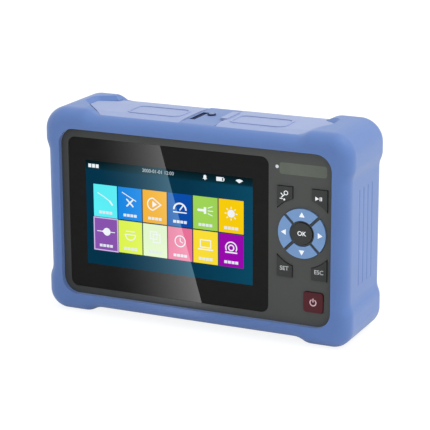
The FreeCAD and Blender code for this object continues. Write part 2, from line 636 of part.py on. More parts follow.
def rear_housing():
    """Back shell: battery bay, a channel for the folded stand, and screw towers."""
    body = new_body("rear_housing")
    outer = outline(new_sketch(body, "XZ_Plane"),
                    centred("Dims.case_width", "Dims.case_height", "Dims.case_corner"))
    pad(body, outer, "Dims.case_back", reversed_way=True)
    inner = outline(new_sketch(body, "XZ_Plane"),
                    centred("Dims.case_width - 2 * Dims.case_wall", "Dims.case_height - 2 * Dims.case_wall",
                            "Dims.case_corner - Dims.case_wall"))
    pocket(body, inner, "Dims.case_back - Dims.back_plate")
    towers = four_discs(new_sketch(body, "XZ_Plane"), "boss_across", "boss_up", "Dims.boss_radius")
    pad(body, towers, "Dims.case_back - Dims.back_plate", reversed_way=True)
    shafts = four_discs(new_sketch(body, "XZ_Plane"), "boss_across", "boss_up", "Dims.pilot_radius + 0.3")
    pocket(body, shafts, "Dims.case_back")
    heads = four_discs(new_sketch(body, "XZ_Plane", "-Dims.case_back"), "boss_across", "boss_up",
                       "Dims.screw_head_radius + 0.2")
    pocket(body, heads, "Dims.head_sink", reversed_way=True)
    groove = gasket_ring(new_sketch(body, "XZ_Plane"))
    pocket(body, groove, "Dims.gasket_depth")
    channel = outline(new_sketch(body, "XZ_Plane", "-Dims.case_back"), stand_corners("Dims.stand_gap"))
    pocket(body, channel, "Dims.stand_thickness + Dims.stand_sink + Dims.stand_gap", reversed_way=True)
    tops = new_sketch(body, "XZ_Plane", "-Dims.case_back")
    for sign in (-1, 1):
        ends = sorted((f"{sign} * (Dims.stand_half + Dims.stand_gap)",
                       f"{sign} * (Dims.stand_half - Dims.stand_bar - Dims.stand_gap)"), key=number)
        outline(tops, frame_corners(ends[0], ends[1], "Dims.stand_top",
                                    "Dims.stand_top + Dims.stand_thickness / 2 + Dims.stand_gap", None))
    pocket(body, tops, "Dims.stand_thickness + Dims.stand_sink + Dims.stand_gap", reversed_way=True)
    scoop = outline(new_sketch(body, "XZ_Plane", "-Dims.case_back"),
                    frame_corners("-12", "12", "Dims.stand_low - 1.9", "Dims.stand_low + 2", "0.6"))
    pocket(body, scoop, "4", reversed_way=True)
    bay = outline(new_sketch(body, "XZ_Plane", "-Dims.case_back"), cover_corners("-Dims.cover_ledge"))
    pocket(body, bay, "Dims.back_plate + 1", reversed_way=True)
    ledge = outline(new_sketch(body, "XZ_Plane", "-Dims.case_back"), cover_corners("0.15"))
    pocket(body, ledge, "Dims.cover_thickness", reversed_way=True)
    screws = new_sketch(body, "XZ_Plane", "-Dims.case_back")
    for x, z in cover_spots():
        disc(screws, x, z, "0.9")
    pocket(body, screws, "Dims.back_plate - 1", reversed_way=True)
    across_discs(body, pin_spans(), stand_axis_y(), "Dims.stand_top", "Dims.stand_pin_radius", pocket)
    slot_rib(body, "0", "Dims.slot_rear - Dims.rib_gap")
    cut_top(body)
    torch = new_sketch(body, "XY_Plane", f"{CASE_TOP} + 1")
    pocket(body, disc(torch, "Dims.torch_x", "Dims.torch_y", "Dims.lens_radius"), "Dims.case_wall + 2")
    return body


def pin_spans():
    """Low X and length of the two hinge pins of the kickstand."""
    length = "Dims.stand_bar + 2 * (Dims.stand_gap + Dims.stand_pin_anchor)"
    reach = "Dims.stand_gap + Dims.stand_pin_anchor"
    return [(f"-(Dims.stand_half + {reach})", length),
            (f"Dims.stand_half - Dims.stand_bar - ({reach})", length)]


def gasket_ring(sketch):
    """The seal's outline, half way through the case wall."""
    for share in ("(Dims.case_wall - Dims.gasket_width)", "(Dims.case_wall + Dims.gasket_width)"):
        outline(sketch, centred(f"Dims.case_width - {share}", f"Dims.case_height - {share}",
                                f"Dims.case_corner - {share} / 2"))
    return sketch


def cover_corners(grow):
    """The battery cover's outline."""
    return frame_corners(f"-(Dims.cover_half + ({grow}))", f"Dims.cover_half + ({grow})",
                         f"Dims.cover_low - ({grow})", f"Dims.cover_high + ({grow})",
                         "Dims.cover_corner")


def cover_spots():
    """The two places of the battery cover's screws."""
    return [(f"{sign} * Dims.cover_screw_x", "Dims.cover_high - Dims.cover_screw_in") for sign in (-1, 1)]


def case_gasket():
    """Rubber seal in the groove between the two shells."""
    body = new_body("case_gasket")
    ring = gasket_ring(new_sketch(body, "XZ_Plane"))
    pad(body, ring, "Dims.gasket_depth", reversed_way=True)
    trim_seal(body)
    return body


def trim_seal(body):
    """Part the seal where the port bays and the torch pass the wall."""
    grow = "(Dims.bay_wall + Dims.bay_gap)"
    for side in ("left", "right"):
        low, high = bay_range(side, grow)
        sketch = new_sketch(body, "XY_Plane", "Dims.case_height / 2 + 1")
        outline(sketch, frame_corners(low, high, "-2", "4", None))
        pocket(body, sketch, "Dims.case_wall + 2")


def screw_set(label, spots, head, shank):
    """Identical screws: spots lists (x, z); head and shank are (radius, y, length)."""
    pieces = []
    for i, (x, z) in enumerate(spots):
        parts = [drum(f"{label}_{i}_{name}", x, y, up(z), radius, length)
                 for name, (radius, y, length) in (("head", head), ("shank", shank))]
        pieces.append(fuse(f"{label}_{i}", parts))
    group = doc.addObject("Part::Compound", label)
    group.Links = pieces
    return keep(group, label)


def corner_spots(across, height):
    """The four places of corner screws."""
    return [(f"{x} * Dims.{across}", f"{z} * Dims.{height}") for x in (-1, 1) for z in (-1, 1)]


# ---------------------------------------------------------------- display

def display_window():
    """Black-bordered cover glass, set in the panel's recess."""
    body = new_body("display_window")
    glass = new_sketch(body, "XZ_Plane", "Dims.panel_front - Dims.window_recess")
    pad(body, outline(glass, window_corners("0")), "Dims.window_thickness")
    return body


def lcd_corners(margin, radius):
    """The display module's outline, widened by a margin."""
    half_width = f"(Dims.lcd_width / 2 + ({margin}))"
    half_height = f"(Dims.lcd_height / 2 + ({margin}))"
    return frame_corners(f"Dims.active_x - {half_width}", f"Dims.active_x + {half_width}",
                         f"Dims.active_z - {half_height}", f"Dims.active_z + {half_height}", radius)


def lcd_module():
    """Liquid crystal display: a slim metal-framed slab with a sunk lit area."""
    body = new_body("lcd_module")
    inside = "Dims.panel_front - Dims.case_wall"
    slab = new_sketch(body, "XZ_Plane", f"{inside} - Dims.lcd_thickness")
    pad(body, outline(slab, lcd_corners("0", "1")), "Dims.lcd_thickness")
    lit = outline(new_sketch(body, "XZ_Plane", inside), active_corners("0"))
    pocket(body, lit, "Dims.lit_sink")
    return body


def lcd_frame():
    """Sheet-metal frame that clamps the display to the panel."""
    body = new_body("lcd_frame")
    back = "Dims.panel_front - Dims.case_wall - Dims.lcd_thickness - Dims.lcd_frame_thickness"
    sketch = new_sketch(body, "XZ_Plane", back)
    for margin, radius in (("Dims.lcd_frame_margin", "2"), ("-Dims.lcd_frame_inset", "3")):
        outline(sketch, lcd_corners(margin, radius))
    pad(body, sketch, "Dims.lcd_frame_thickness")
    return body


def lcd_flex():
    """Ribbon from the display down and back to the main board."""
    front = "-(Dims.panel_front - Dims.case_wall - 1.2)"
    tail = up("Dims.active_z - Dims.lcd_height / 2 - 5.2")
    down = block("lcd_flex_down", "-26", front, tail, "20", "0.3", "5.2")
    back = block("lcd_flex_back", "-26", front, tail, "20", f"-Dims.board_front - ({front})", "0.3")
    return keep(fuse("lcd_flex", [down, back]), "lcd_flex")


# ---------------------------------------------------------------- keypad

def keypad_mat():
    """Silicone sheet with a dome behind each key."""
    body = new_body("keypad_mat")
    sheet_back = "Dims.mat_front - Dims.mat_thickness"
    flat = outline(new_sketch(body, "XZ_Plane", sheet_back), frame_corners(
        "Dims.keypad_left", "Dims.keypad_right", "Dims.keypad_low", "Dims.keypad_high - 7", "1.5"))
    pad(body, flat, "Dims.mat_thickness")
    domes = new_sketch(body, "XZ_Plane", "Dims.mat_front")
    for x, z in key_spots():
        disc(domes, x, z, "Dims.dome_radius")
    pad(body, domes, "Dims.dome_height")
    return body


def keypad_board():
    """Circuit board behind the keys."""
    body = new_body("keypad_board")
    flat = outline(new_sketch(body, "XZ_Plane", "Dims.keypad_front - Dims.keypad_thickness"), frame_corners(
        "Dims.keypad_left", "Dims.keypad_right", "Dims.keypad_low", "Dims.keypad_high", "1"))
    pad(body, flat, "Dims.keypad_thickness")
    return body


def keypad_switches():
    """Metal dome switches on the keypad board, one for each key."""
    group = doc.addObject("Part::Compound", "keypad_switches")
    group.Links = [drum(f"switch_{i}", x, "-Dims.keypad_front - Dims.switch_height", up(z),
                        "Dims.switch_radius", "Dims.switch_height") for i, (x, z) in enumerate(key_spots())]
    return keep(group, "keypad_switches")


def status_led():
    """Round indicator that shows through the panel and stands on the keypad board."""
    lamp = drum("status_led_lamp", "Dims.led_x", "-Dims.panel_front", up("Dims.led_z"), "Dims.led_radius",
                "Dims.panel_front - Dims.keypad_front")
    collar = drum("status_led_collar", "Dims.led_x", "-Dims.keypad_front - Dims.led_collar_height",
                  up("Dims.led_z"), "Dims.led_collar", "Dims.led_collar_height")
    return keep(fuse("status_led", [lamp, collar]), "status_led")


# ---------------------------------------------------------------- port bays, ports and flaps

def port_bay(side):
    """Moulded tray sunk in the top of the case, in which the ports stand."""
    body = new_body(f"{side}_port_bay")
    low, high = bay_range(side, "Dims.bay_wall")
    deep = "(Dims.bay_half_depth + Dims.bay_wall)"
    outer = outline(new_sketch(body, "XY_Plane", f"{BAY_FLOOR} - Dims.bay_wall"),
                    frame_corners(low, high, f"-{deep}", deep, "3.8"))
    pad(body, outer, "Dims.bay_drop + Dims.bay_wall")
    low, high = bay_range(side, "0")
    inner = outline(new_sketch(body, "XY_Plane", CASE_TOP),
                    frame_corners(low, high, "-Dims.bay_half_depth", "Dims.bay_half_depth", "2.3"))
    pocket(body, inner, "Dims.bay_drop")
    return body


def network_jack():
    """Eight-way modular jack, mouth upwards, with a notch for the plug's latch."""
    shell = block("network_jack_shell", "Dims.jack_x - Dims.jack_width / 2", "-Dims.jack_depth / 2",
                  up(BAY_FLOOR), "Dims.jack_width", "Dims.jack_depth", "Dims.port_height")
    mouth_low = up(f"{BAY_FLOOR} + Dims.port_height - Dims.jack_mouth_drop")
    mouth = block("network_jack_mouth", "Dims.jack_x - Dims.jack_mouth_width / 2",
                  "-Dims.jack_mouth_depth / 2", mouth_low, "Dims.jack_mouth_width", "Dims.jack_mouth_depth",
                  "Dims.jack_mouth_drop + 1")
    notch = block("network_jack_notch", "Dims.jack_x - 3", "Dims.jack_mouth_depth / 2 - 0.1", mouth_low,
                  "6", "2.4", "Dims.jack_mouth_drop + 1")
    return keep(cut("network_jack", shell, [mouth, notch]), "network_jack")


def usb_port():
    """Slim reversible data and charging socket with its tongue."""
    body = new_body("usb_port", "Dims.usb_x", "0", up(BAY_FLOOR))
    shell = outline(new_sketch(body, "XY_Plane"), centred("Dims.usb_width", "Dims.usb_depth", "1.6"))
    pad(body, shell, "Dims.usb_height")
    mouth = outline(new_sketch(body, "XY_Plane", "Dims.usb_height"), centred(
        "Dims.usb_width - 2 * Dims.usb_wall", "Dims.usb_depth - 2 * Dims.usb_wall", "1.3"))
    pocket(body, mouth, "Dims.usb_drop")
    tongue = outline(new_sketch(body, "XY_Plane", "Dims.usb_height - Dims.usb_drop"), centred("6.4", "0.7"))
    pad(body, tongue, "Dims.usb_drop - 0.6")
    return body


def dc_jack():
    """Round charging jack with its centre pin."""
    body = new_body("dc_jack", "Dims.dc_x", "0", up(BAY_FLOOR))
    pad(body, disc(new_sketch(body, "XY_Plane"), "0", "0", "Dims.dc_radius"), "Dims.dc_height")
    mouth = disc(new_sketch(body, "XY_Plane", "Dims.dc_height"), "0", "0", "Dims.dc_bore")
    pocket(body, mouth, "Dims.dc_height - 1.5")
    pad(body, disc(new_sketch(body, "XY_Plane", "1.5"), "0", "0", "Dims.dc_pin"), "Dims.dc_height - 2.5")
    return body


def optical_port(label, x, profile):
    """A turned optical port: profile lists (radius, height) steps from its foot up."""
    body = new_body(label, x, "0", up(BAY_FLOOR))
    sketch = new_sketch(body, "XZ_Plane")
    corners = [("0", "Dims.port_height - Dims.ferrule_drop", None), ("0", "0", None)]
    foot = "0"
    for radius, height in profile:
        corners.append((radius, foot, None))
        corners.append((radius, height, None))
        foot = height
    corners += [("Dims.ferrule_bore", "Dims.port_height", None),
                ("Dims.ferrule_bore", "Dims.port_height - Dims.ferrule_drop", None)]
    outline(sketch, corners)
    feature = body.newObject("PartDesign::Revolution", label + "_turned")
    feature.Profile = sketch
    feature.ReferenceAxis = (sketch, ["V_Axis"])
    doc.recompute()
    return body


def flap_span(side, grow):
    """Low and high X of the straight part of a flap at its hinge, widened by grow."""
    sign = {"left": -1, "right": 1}[side]
    ends = (f"Dims.flap_{side}_inner - {sign} * ({grow})", f"Dims.flap_{side}_rear + {sign} * ({grow})")
    return sorted(ends, key=number)


def flap_axis_z(side):
    """Height of a flap's hinge axis about the middle of the case."""
    return f"{FLAP_UNDER} + Dims.flap_{side}_roll"


def flap(side):
    """Rubber door over a port bay: lid, rolled hinge edge with a rod bore, plug skirt and grip bead."""
    body = new_body(f"{side}_port_flap")
    roll = f"Dims.flap_{side}_roll"
    lid_top = f"{FLAP_UNDER} + Dims.flap_thickness"
    lid = outline(new_sketch(body, "XY_Plane", FLAP_UNDER), flap_outline(side, "0", "Dims.flap_axis_y"))
    pad(body, lid, "Dims.flap_thickness")
    slope_edges(body, side)
    low, high = flap_span(side, "0")
    axis_z = flap_axis_z(side)
    across_discs(body, [(low, f"{high} - ({low})")], "Dims.flap_axis_y", axis_z, roll, pad)
    if side == "right":
        tab = outline(new_sketch(body, "XY_Plane", f"{WAIST} + Dims.flap_lift"), frame_corners(
            "Dims.flap_right_inner - Dims.tab_reach", "Dims.flap_right_inner + 1",
            "Dims.tab_y - Dims.tab_length / 2", "Dims.tab_y + Dims.tab_length / 2", "0.6"))
        pad(body, tab, "Dims.tab_height")
    plug_skirt(body, side)
    bead = new_sketch(body, "XY_Plane", lid_top)
    sign = {"left": -1, "right": 1}[side]
    rails = sorted((f"Dims.flap_{side}_inner + {sign} * Dims.bead_from",
                    f"Dims.flap_{side}_inner + {sign} * (Dims.bead_from + Dims.bead_length)"), key=number)
    for inset in ("0", "Dims.bead_width"):
        outline(bead, frame_corners(f"{rails[0]} + {inset}", f"{rails[1]} - {inset}",
                                    f"Dims.bead_front + {inset}", f"Dims.bead_rear - {inset}",
                                    f"Dims.bead_corner - {inset}"))
    pad(body, bead, "Dims.bead_height")
    across_discs(body, [(f"{low} - 1", f"{high} - ({low}) + 2")], "Dims.flap_axis_y", axis_z,
                 "Dims.rod_radius + Dims.rod_clearance", pocket)
    return body


def slope_edges(body, side):
    """Slope the lid's top down to its front edge and to the roll of its hinge edge."""
    lid_top = f"{FLAP_UNDER} + Dims.flap_thickness"
    roll_top = f"{FLAP_UNDER} + 2 * Dims.flap_{side}_roll"
    far, near = sorted((f"Dims.flap_{side}_tip", f"Dims.flap_{side}_inner"), key=number)
    wedges = new_sketch(body, "YZ_Plane", f"{far} - 1")
    for start, end, step, low in (("Dims.flap_slope_from", "Dims.flap_axis_y", 1, roll_top),
                                  ("Dims.brow_from", "Dims.flap_front", -1, f"{lid_top} - Dims.brow_drop")):
        beyond = f"{end} + {step}"
        outline(wedges, [(start, lid_top, None), (end, low, None), (beyond, low, None),
                         (beyond, f"{lid_top} + 1", None), (start, f"{lid_top} + 1", None)])
    pocket(body, wedges, f"{near} - ({far}) + 2", reversed_way=True)


def plug_skirt(body, side):
    """Thin wall under the lid that plugs the port bay."""
    low, high = bay_range(side, "-Dims.skirt_gap")
    skirt = new_sketch(body, "XY_Plane", FLAP_UNDER)
    for wall, radius in (("0", "2"), ("Dims.skirt_wall", "0.8")):
        outline(skirt, frame_corners(
            f"{low} + {wall}", f"{high} - {wall}", f"-Dims.bay_half_depth + Dims.skirt_front_gap + {wall}",
            f"Dims.bay_half_depth - Dims.skirt_gap - {wall}", radius))
    pad(body, skirt, "Dims.skirt_height", reversed_way=True)


def rod_span(side):
    """Low X and length of a flap's hinge rod, which is held in the boot at both ends."""
    low, high = flap_span(side, "Dims.flap_clearance + Dims.rod_anchor")
    return low, f"({high}) - ({low})"


def flap_rod(side):
    """Steel rod on which a flap turns."""
    low, length = rod_span(side)
    rod = drum(f"{side}_flap_rod", low, "Dims.flap_axis_y", up(flap_axis_z(side)), "Dims.rod_radius", length,
               axis="x")
    return keep(rod, f"{side}_flap_rod")


def torch_lens():
    """Clear lens of the torch, flush with the top of the case."""
    body = new_body("torch_lens", "Dims.torch_x", "Dims.torch_y", UP)
    barrel = disc(new_sketch(body, "XY_Plane", f"{CASE_TOP} - Dims.case_wall"), "0", "0", "Dims.lens_radius")
    pad(body, barrel, "Dims.case_wall")
    return body


def torch_bezel():
    """Black ring that lines the torch's hole in the boot and stands on the case."""
    body = new_body("torch_bezel", "Dims.torch_x", "Dims.torch_y", UP)
    ring = new_sketch(body, "XY_Plane", CASE_TOP)
    disc(ring, "0", "0", "Dims.bezel_radius")
    disc(ring, "0", "0", "Dims.bezel_bore")
    pad(body, ring, f"{WAIST} - Dims.bezel_sink - {CASE_TOP}")
    return body


def torch_led():
    """White light-emitting diode on its small round board, under the lens."""
    height = up("Dims.case_height / 2 - Dims.case_wall - 3.6")
    chip = drum("torch_led_chip", "Dims.torch_x", "Dims.torch_y", height, "1.5", "3.2", axis="z")
    plate = drum("torch_led_board", "Dims.torch_x", "Dims.torch_y", f"{height} - 1", "5", "1", axis="z")
    return keep(fuse("torch_led", [chip, plate]), "torch_led")


# ---------------------------------------------------------------- boards and inner parts

def main_board():
    """Main circuit board on the four standoffs."""
    body = new_body("main_board")
    flat = outline(new_sketch(body, "XZ_Plane", "Dims.board_front - Dims.board_thickness"), frame_corners(
        "-Dims.board_half", "Dims.board_half", "Dims.board_low", "Dims.board_high", "2"))
    four_discs(flat, "standoff_across", "standoff_up", "Dims.board_pilot + 0.1")
    pad(body, flat, "Dims.board_thickness")
    return body


def inner_blocks():
    """Plain-shaped parts on the main board and beside the battery."""
    back = "-(Dims.board_front - Dims.board_thickness)"
    keep(block("processor_shield", "-12", back, up("4"), "36", "3", "30"), "processor_shield")
    keep(drum("clock_battery", "62", back, up("-18"), "10", "3.2"), "clock_battery")
    buzzer = cut("buzzer", drum("buzzer_can", "-68", back, up("-30"), "6", "5"),
                 [drum("buzzer_hole", "-68", f"{back} + 4", up("-30"), "1", "2")])
    keep(buzzer, "buzzer")
    module = cut("optical_module", block("optical_case", "42", back, up("6"), "42", "15", "30"),
                 [block("optical_step", "42", f"{back} + 11", up("26"), "42", "5", "11")])
    keep(module, "optical_module")
    spool = cut("fibre_spool", drum("fibre_coil", "-61", "-6", up("8"), "21", "6"),
                [drum("fibre_eye", "-61", "-7", up("8"), "15", "8")])
    keep(spool, "fibre_spool")


def battery_pack():
    """Flat rechargeable pack in the bay behind the cover."""
    body = new_body("battery_pack", "0", "0", up("(Dims.cover_low + Dims.cover_high) / 2"))
    slab = outline(new_sketch(body, "XZ_Plane", "-Dims.battery_front"),
                   centred("Dims.battery_width", "Dims.battery_height", "3"))
    pad(body, slab, "Dims.battery_depth", reversed_way=True)
    return body


def battery_contacts():
    """Spring contact block that the pack plugs against."""
    top = up("(Dims.cover_low + Dims.cover_high) / 2 + Dims.battery_height / 2")
    base = block("contact_base", "-10", "6", f"{top} + 1.5", "20", "6", "4")
    blades = [block(f"contact_blade_{i}", x, "8", top, "1", "2", "1.6")
              for i, x in enumerate(("-7", "-2.3", "2.3", "6"))]
    return keep(fuse("battery_contacts", [base] + blades), "battery_contacts")


def battery_cover():
    """Screwed cover of the battery bay, with finger ribs."""
    body = new_body("battery_cover")
    floor = "-(Dims.case_back - Dims.cover_thickness)"
    plate = outline(new_sketch(body, "XZ_Plane", floor), cover_corners("0"))
    pad(body, plate, "Dims.cover_thickness", reversed_way=True)
    grooves = new_sketch(body, "XZ_Plane", "-Dims.case_back")
    for i in range(4):
        low = f"Dims.cover_low + Dims.groove_from + {i} * Dims.groove_pitch"
        outline(grooves, frame_corners("-Dims.groove_half", "Dims.groove_half", low,
                                       f"{low} + Dims.groove_width", "Dims.groove_depth"))
    pocket(body, grooves, "Dims.groove_depth", reversed_way=True)
    heads = new_sketch(body, "XZ_Plane", "-Dims.case_back")
    shanks = new_sketch(body, "XZ_Plane", "-Dims.case_back")
    for x, z in cover_spots():
        disc(heads, x, z, "1.6")
        disc(shanks, x, z, "1.0")
    pocket(body, heads, "1.2", reversed_way=True)
    pocket(body, shanks, "Dims.cover_thickness + 1", reversed_way=True)
    return body


def kickstand():
    """U-shaped stand that folds flat into the back, hinged on two pins."""
    body = new_body("kickstand")
    floor = "-(Dims.case_back - Dims.stand_sink - Dims.stand_thickness)"
    bail = outline(new_sketch(body, "XZ_Plane", floor), stand_corners("0"))
    pad(body, bail, "Dims.stand_thickness", reversed_way=True)
    legs = [("-Dims.stand_half", "Dims.stand_bar"), ("Dims.stand_half - Dims.stand_bar", "Dims.stand_bar")]
    across_discs(body, legs, stand_axis_y(), "Dims.stand_top", "Dims.stand_thickness / 2", pad)
    across_discs(body, legs, stand_axis_y(), "Dims.stand_top",
                 "Dims.stand_pin_radius + Dims.stand_pin_clearance", pocket)
    return body


def kickstand_pins():
    """The two steel hinge pins of the stand."""
    group = doc.addObject("Part::Compound", "kickstand_pins")
    group.Links = [drum(f"stand_pin_{i}", low, stand_axis_y(), up("Dims.stand_top"), "Dims.stand_pin_radius",
                        length, axis="x") for i, (low, length) in enumerate(pin_spans())]
    return keep(group, "kickstand_pins")


# ---------------------------------------------------------------- whole instrument

protective_boot()
front_housing()
rear_housing()
case_gasket()
display_window()
lcd_module()
lcd_frame()
lcd_flex()
for key_name in KEYS:
    key(key_name)
keypad_mat()
keypad_board()
keypad_switches()
status_led()
for flap_side in ("left", "right"):
    port_bay(flap_side)
    flap(flap_side)
    flap_rod(flap_side)
network_jack()
usb_port()
dc_jack()
optical_port("otdr_port", "Dims.otdr_x",
             [("6.4", "1.6"), ("4.0", "Dims.port_height - 1"), ("3.6", "Dims.port_height")])
optical_port("power_meter_port", "Dims.meter_x", [("6.0", "1.6"), ("4.9", "Dims.port_height")])
optical_port("fault_locator_port", "Dims.pointer_x", [("4.5", "1.6"), ("3.3", "Dims.port_height")])
torch_lens()
torch_bezel()
torch_led()
main_board()
inner_blocks()
battery_pack()
battery_contacts()
battery_cover()
kickstand()
kickstand_pins()
screw_set("case_screws", corner_spots("boss_across", "boss_up"),
          ("Dims.screw_head_radius", "Dims.case_back - Dims.head_sink", "Dims.screw_head_depth"),
          ("Dims.pilot_radius", "Dims.case_back - Dims.head_sink - Dims.screw_length", "Dims.screw_length"))
screw_set("board_screws", corner_spots("standoff_across", "standoff_up"),
          ("1.9", "-(Dims.board_front - Dims.board_thickness)", "1.3"),
          ("Dims.board_pilot", "-(Dims.board_front + 7)", "7 + Dims.board_thickness"))
screw_set("battery_cover_screws", cover_spots(),
          ("1.5", "Dims.case_back - 1.2", "1.1"), ("0.9", "Dims.case_back - 7", "5.8"))
doc.recompute()

for item in doc.Objects:
    if "Invalid" in item.State or "Error" in item.State:
        raise RuntimeError(f"{item.Label} failed: {item.State}")
for item in subparts:
    if item.Shape.isNull() or not item.Shape.isValid():
        raise RuntimeError(f"{item.Label} has no valid shape")
os.makedirs("parts", exist_ok=True)
for item in subparts:
    item.Shape.exportStep(f"parts/{item.Label}.step")
    box = item.Shape.BoundBox
    print(f"{item.Label:24} {len(item.Shape.Solids)} {item.Shape.Volume:10.1f}"
          f"  x {box.XMin:7.2f} {box.XMax:7.2f}  y {box.YMin:7.2f} {box.YMax:7.2f}"
          f"  z {box.ZMin:7.2f} {box.ZMax:7.2f}")
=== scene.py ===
"""Looks for a handheld optical time domain reflectometer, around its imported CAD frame."""

import math

import bpy
from mathutils import Matrix, Vector


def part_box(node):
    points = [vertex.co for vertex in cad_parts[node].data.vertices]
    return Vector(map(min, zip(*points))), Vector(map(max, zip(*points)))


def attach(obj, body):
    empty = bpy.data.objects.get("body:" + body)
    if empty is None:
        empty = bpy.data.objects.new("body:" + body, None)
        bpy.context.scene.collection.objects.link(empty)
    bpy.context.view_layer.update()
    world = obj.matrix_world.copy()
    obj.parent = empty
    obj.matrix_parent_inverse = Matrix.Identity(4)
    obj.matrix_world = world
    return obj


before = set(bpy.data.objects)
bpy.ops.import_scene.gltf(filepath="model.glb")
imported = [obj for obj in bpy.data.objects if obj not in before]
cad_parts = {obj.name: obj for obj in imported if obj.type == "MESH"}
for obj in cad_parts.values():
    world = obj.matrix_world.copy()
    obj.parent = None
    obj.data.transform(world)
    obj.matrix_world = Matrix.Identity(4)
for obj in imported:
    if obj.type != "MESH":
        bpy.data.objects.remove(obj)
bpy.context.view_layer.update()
MM = 0.001


# ---------------------------------------------------------------- materials

NOISE_SPREAD = 0.3, 0.7  # most of a noise texture's values lie between these
SMEAR_STRETCH = 1, 1, 3
WINDOW_SMEAR = 9 * MM
WINDOW_GLOSS = 0.006, 0.014  # the lowest and highest roughness of the window
PANEL_PAINTED_LIGHT = -80, 60, 0.9  # painted light, the panel lighter to the right: from and to in mm along X, and the share of the right colour there
UNLIT = 0.002, 0.002, 0.002, 1


def srgb(red, green, blue):
    """The linear colour of an 8-bit screen colour."""
    def linear(value):
        value /= 255
        return value / 12.92 if value <= 0.04045 else ((value + 0.055) / 1.055) ** 2.4
    return linear(red), linear(green), linear(blue), 1.0


def scaled(colour, factor):
    return tuple(min(1.0, c * factor) for c in colour[:3]) + (1.0,)


def base_name(material):
    """A material's name without the number that a second one of that name gets."""
    return material.name.split(".")[0]


def new_material(name, **sockets):
    """A node material, its tree and its Principled shader, with those values in its sockets."""
    material = bpy.data.materials.new(name)
    material.use_nodes = True
    tree = material.node_tree
    shader = tree.nodes["Principled BSDF"]
    for socket, value in sockets.items():
        shader.inputs[socket.replace("_", " ")].default_value = value
    return material, tree, shader


def noise_of(tree, size, stretch=(1, 1, 1), detail=3.0):
    """Noise in the object's own space, with features of about that size in metres."""
    place = tree.nodes.new("ShaderNodeTexCoord")
    mapping = tree.nodes.new("ShaderNodeMapping")
    mapping.inputs["Scale"].default_value = stretch
    noise = tree.nodes.new("ShaderNodeTexNoise")
    noise.inputs["Scale"].default_value = 1 / size
    noise.inputs["Detail"].default_value = detail
    tree.links.new(place.outputs["Object"], mapping.inputs["Vector"])
    tree.links.new(mapping.outputs["Vector"], noise.inputs["Vector"])
    return noise.outputs["Fac"]


def ranged(tree, value, low, high, spread=NOISE_SPREAD):
    """A value carried from its spread to low and high, where it stops."""
    node = tree.nodes.new("ShaderNodeMapRange")
    ends = {"From Min": spread[0], "From Max": spread[1], "To Min": low, "To Max": high}
    for socket, number in ends.items():
        node.inputs[socket].default_value = number
    tree.links.new(value, node.inputs["Value"])
    return node.outputs["Result"]


def maths(tree, operation, first, second):
    """A sum, product or the like of a socket with another socket or a number."""
    node = tree.nodes.new("ShaderNodeMath")
    node.operation = operation
    tree.links.new(first, node.inputs[0])
    if isinstance(second, (int, float)):
        node.inputs[1].default_value = second
    else:
        tree.links.new(second, node.inputs[1])
    return node.outputs[0]


def mixed(tree, factor, first, second):
    """A colour between two, by a factor; each colour is a constant or a socket."""
    mix = tree.nodes.new("ShaderNodeMix")
    mix.data_type = "RGBA"
    tree.links.new(factor, mix.inputs["Factor"])
    for socket, colour in ((mix.inputs[6], first), (mix.inputs[7], second)):
        if isinstance(colour, tuple):
            socket.default_value = colour
        else:
            tree.links.new(colour, socket)
    return mix.outputs[2]


def own_place(tree):
    """A point's X, Y and Z in the object's own space, in metres."""
    place = tree.nodes.new("ShaderNodeTexCoord")
    split = tree.nodes.new("ShaderNodeSeparateXYZ")
    tree.links.new(place.outputs["Object"], split.inputs["Vector"])
    return split.outputs


def along(tree, axis, low, high, end=1):
    """A factor that grows from 0 to end along an axis of the object, between two places in mm."""
    return ranged(tree, own_place(tree)[axis], 0, end, (low * MM, high * MM))


def moulded(name, colour, rough, grain=0.5, bump=0.2, vary=0.06, patch=14, stretch=(1, 1, 1),
            right=None, **sockets):
    """Plastic, rubber or metal with a fine grain and a slow drift of tone.

    The sizes of the grain and of a patch of tone are in mm. With a right colour, the tone also
    grows to that colour along X: painted light, the panel lighter to the right as light falls on
    it.
    """
    material, tree, shader = new_material(name, **sockets)
    drift = noise_of(tree, patch * MM, stretch)
    fine = noise_of(tree, grain * MM, stretch)
    light, dark, darkest = (scaled(colour, 1 + share * vary) for share in (1, -1, -2))
    tone = mixed(tree, ranged(tree, drift, 0, 1), dark, light)
    tone = mixed(tree, ranged(tree, fine, 0, 0.35), tone, darkest)
    # painted light: the tone grows to the lighter right colour along X
    if right:
        tone = mixed(tree, along(tree, "X", *PANEL_PAINTED_LIGHT), tone, right)
    tree.links.new(tone, shader.inputs["Base Color"])
    tree.links.new(ranged(tree, fine, rough - 0.05, rough + 0.05), shader.inputs["Roughness"])
    relief = tree.nodes.new("ShaderNodeBump")
    relief.inputs["Strength"].default_value = bump
    relief.inputs["Distance"].default_value = grain * MM * 0.15
    tree.links.new(fine, relief.inputs["Height"])
    tree.links.new(relief.outputs["Normal"], shader.inputs["Normal"])
    return material


def smeared(tree, shader):
    """Give a shader the gloss of the window with its faint smears, and return their noise."""
    smear = noise_of(tree, WINDOW_SMEAR, SMEAR_STRETCH)
    tree.links.new(ranged(tree, smear, *WINDOW_GLOSS), shader.inputs["Roughness"])
    return smear


def polished(name, colour):
    """Black glass, very slightly smeared."""
    material, tree, shader = new_material(name)
    smear = smeared(tree, shader)
    tone = mixed(tree, ranged(tree, smear, 0, 1), scaled(colour, 0.95), scaled(colour, 1.05))
    tree.links.new(tone, shader.inputs["Base Color"])
    return material


def clear(name, colour, rough, smear=0.03):
    """Clear glass or plastic with faint smears in its gloss."""
    material, tree, shader = new_material(
        name, Base_Color=colour, Transmission_Weight=1.0, IOR=1.45)
    wipe = noise_of(tree, 6 * MM, SMEAR_STRETCH)
    tree.links.new(ranged(tree, wipe, rough, rough + smear), shader.inputs["Roughness"])
    return material


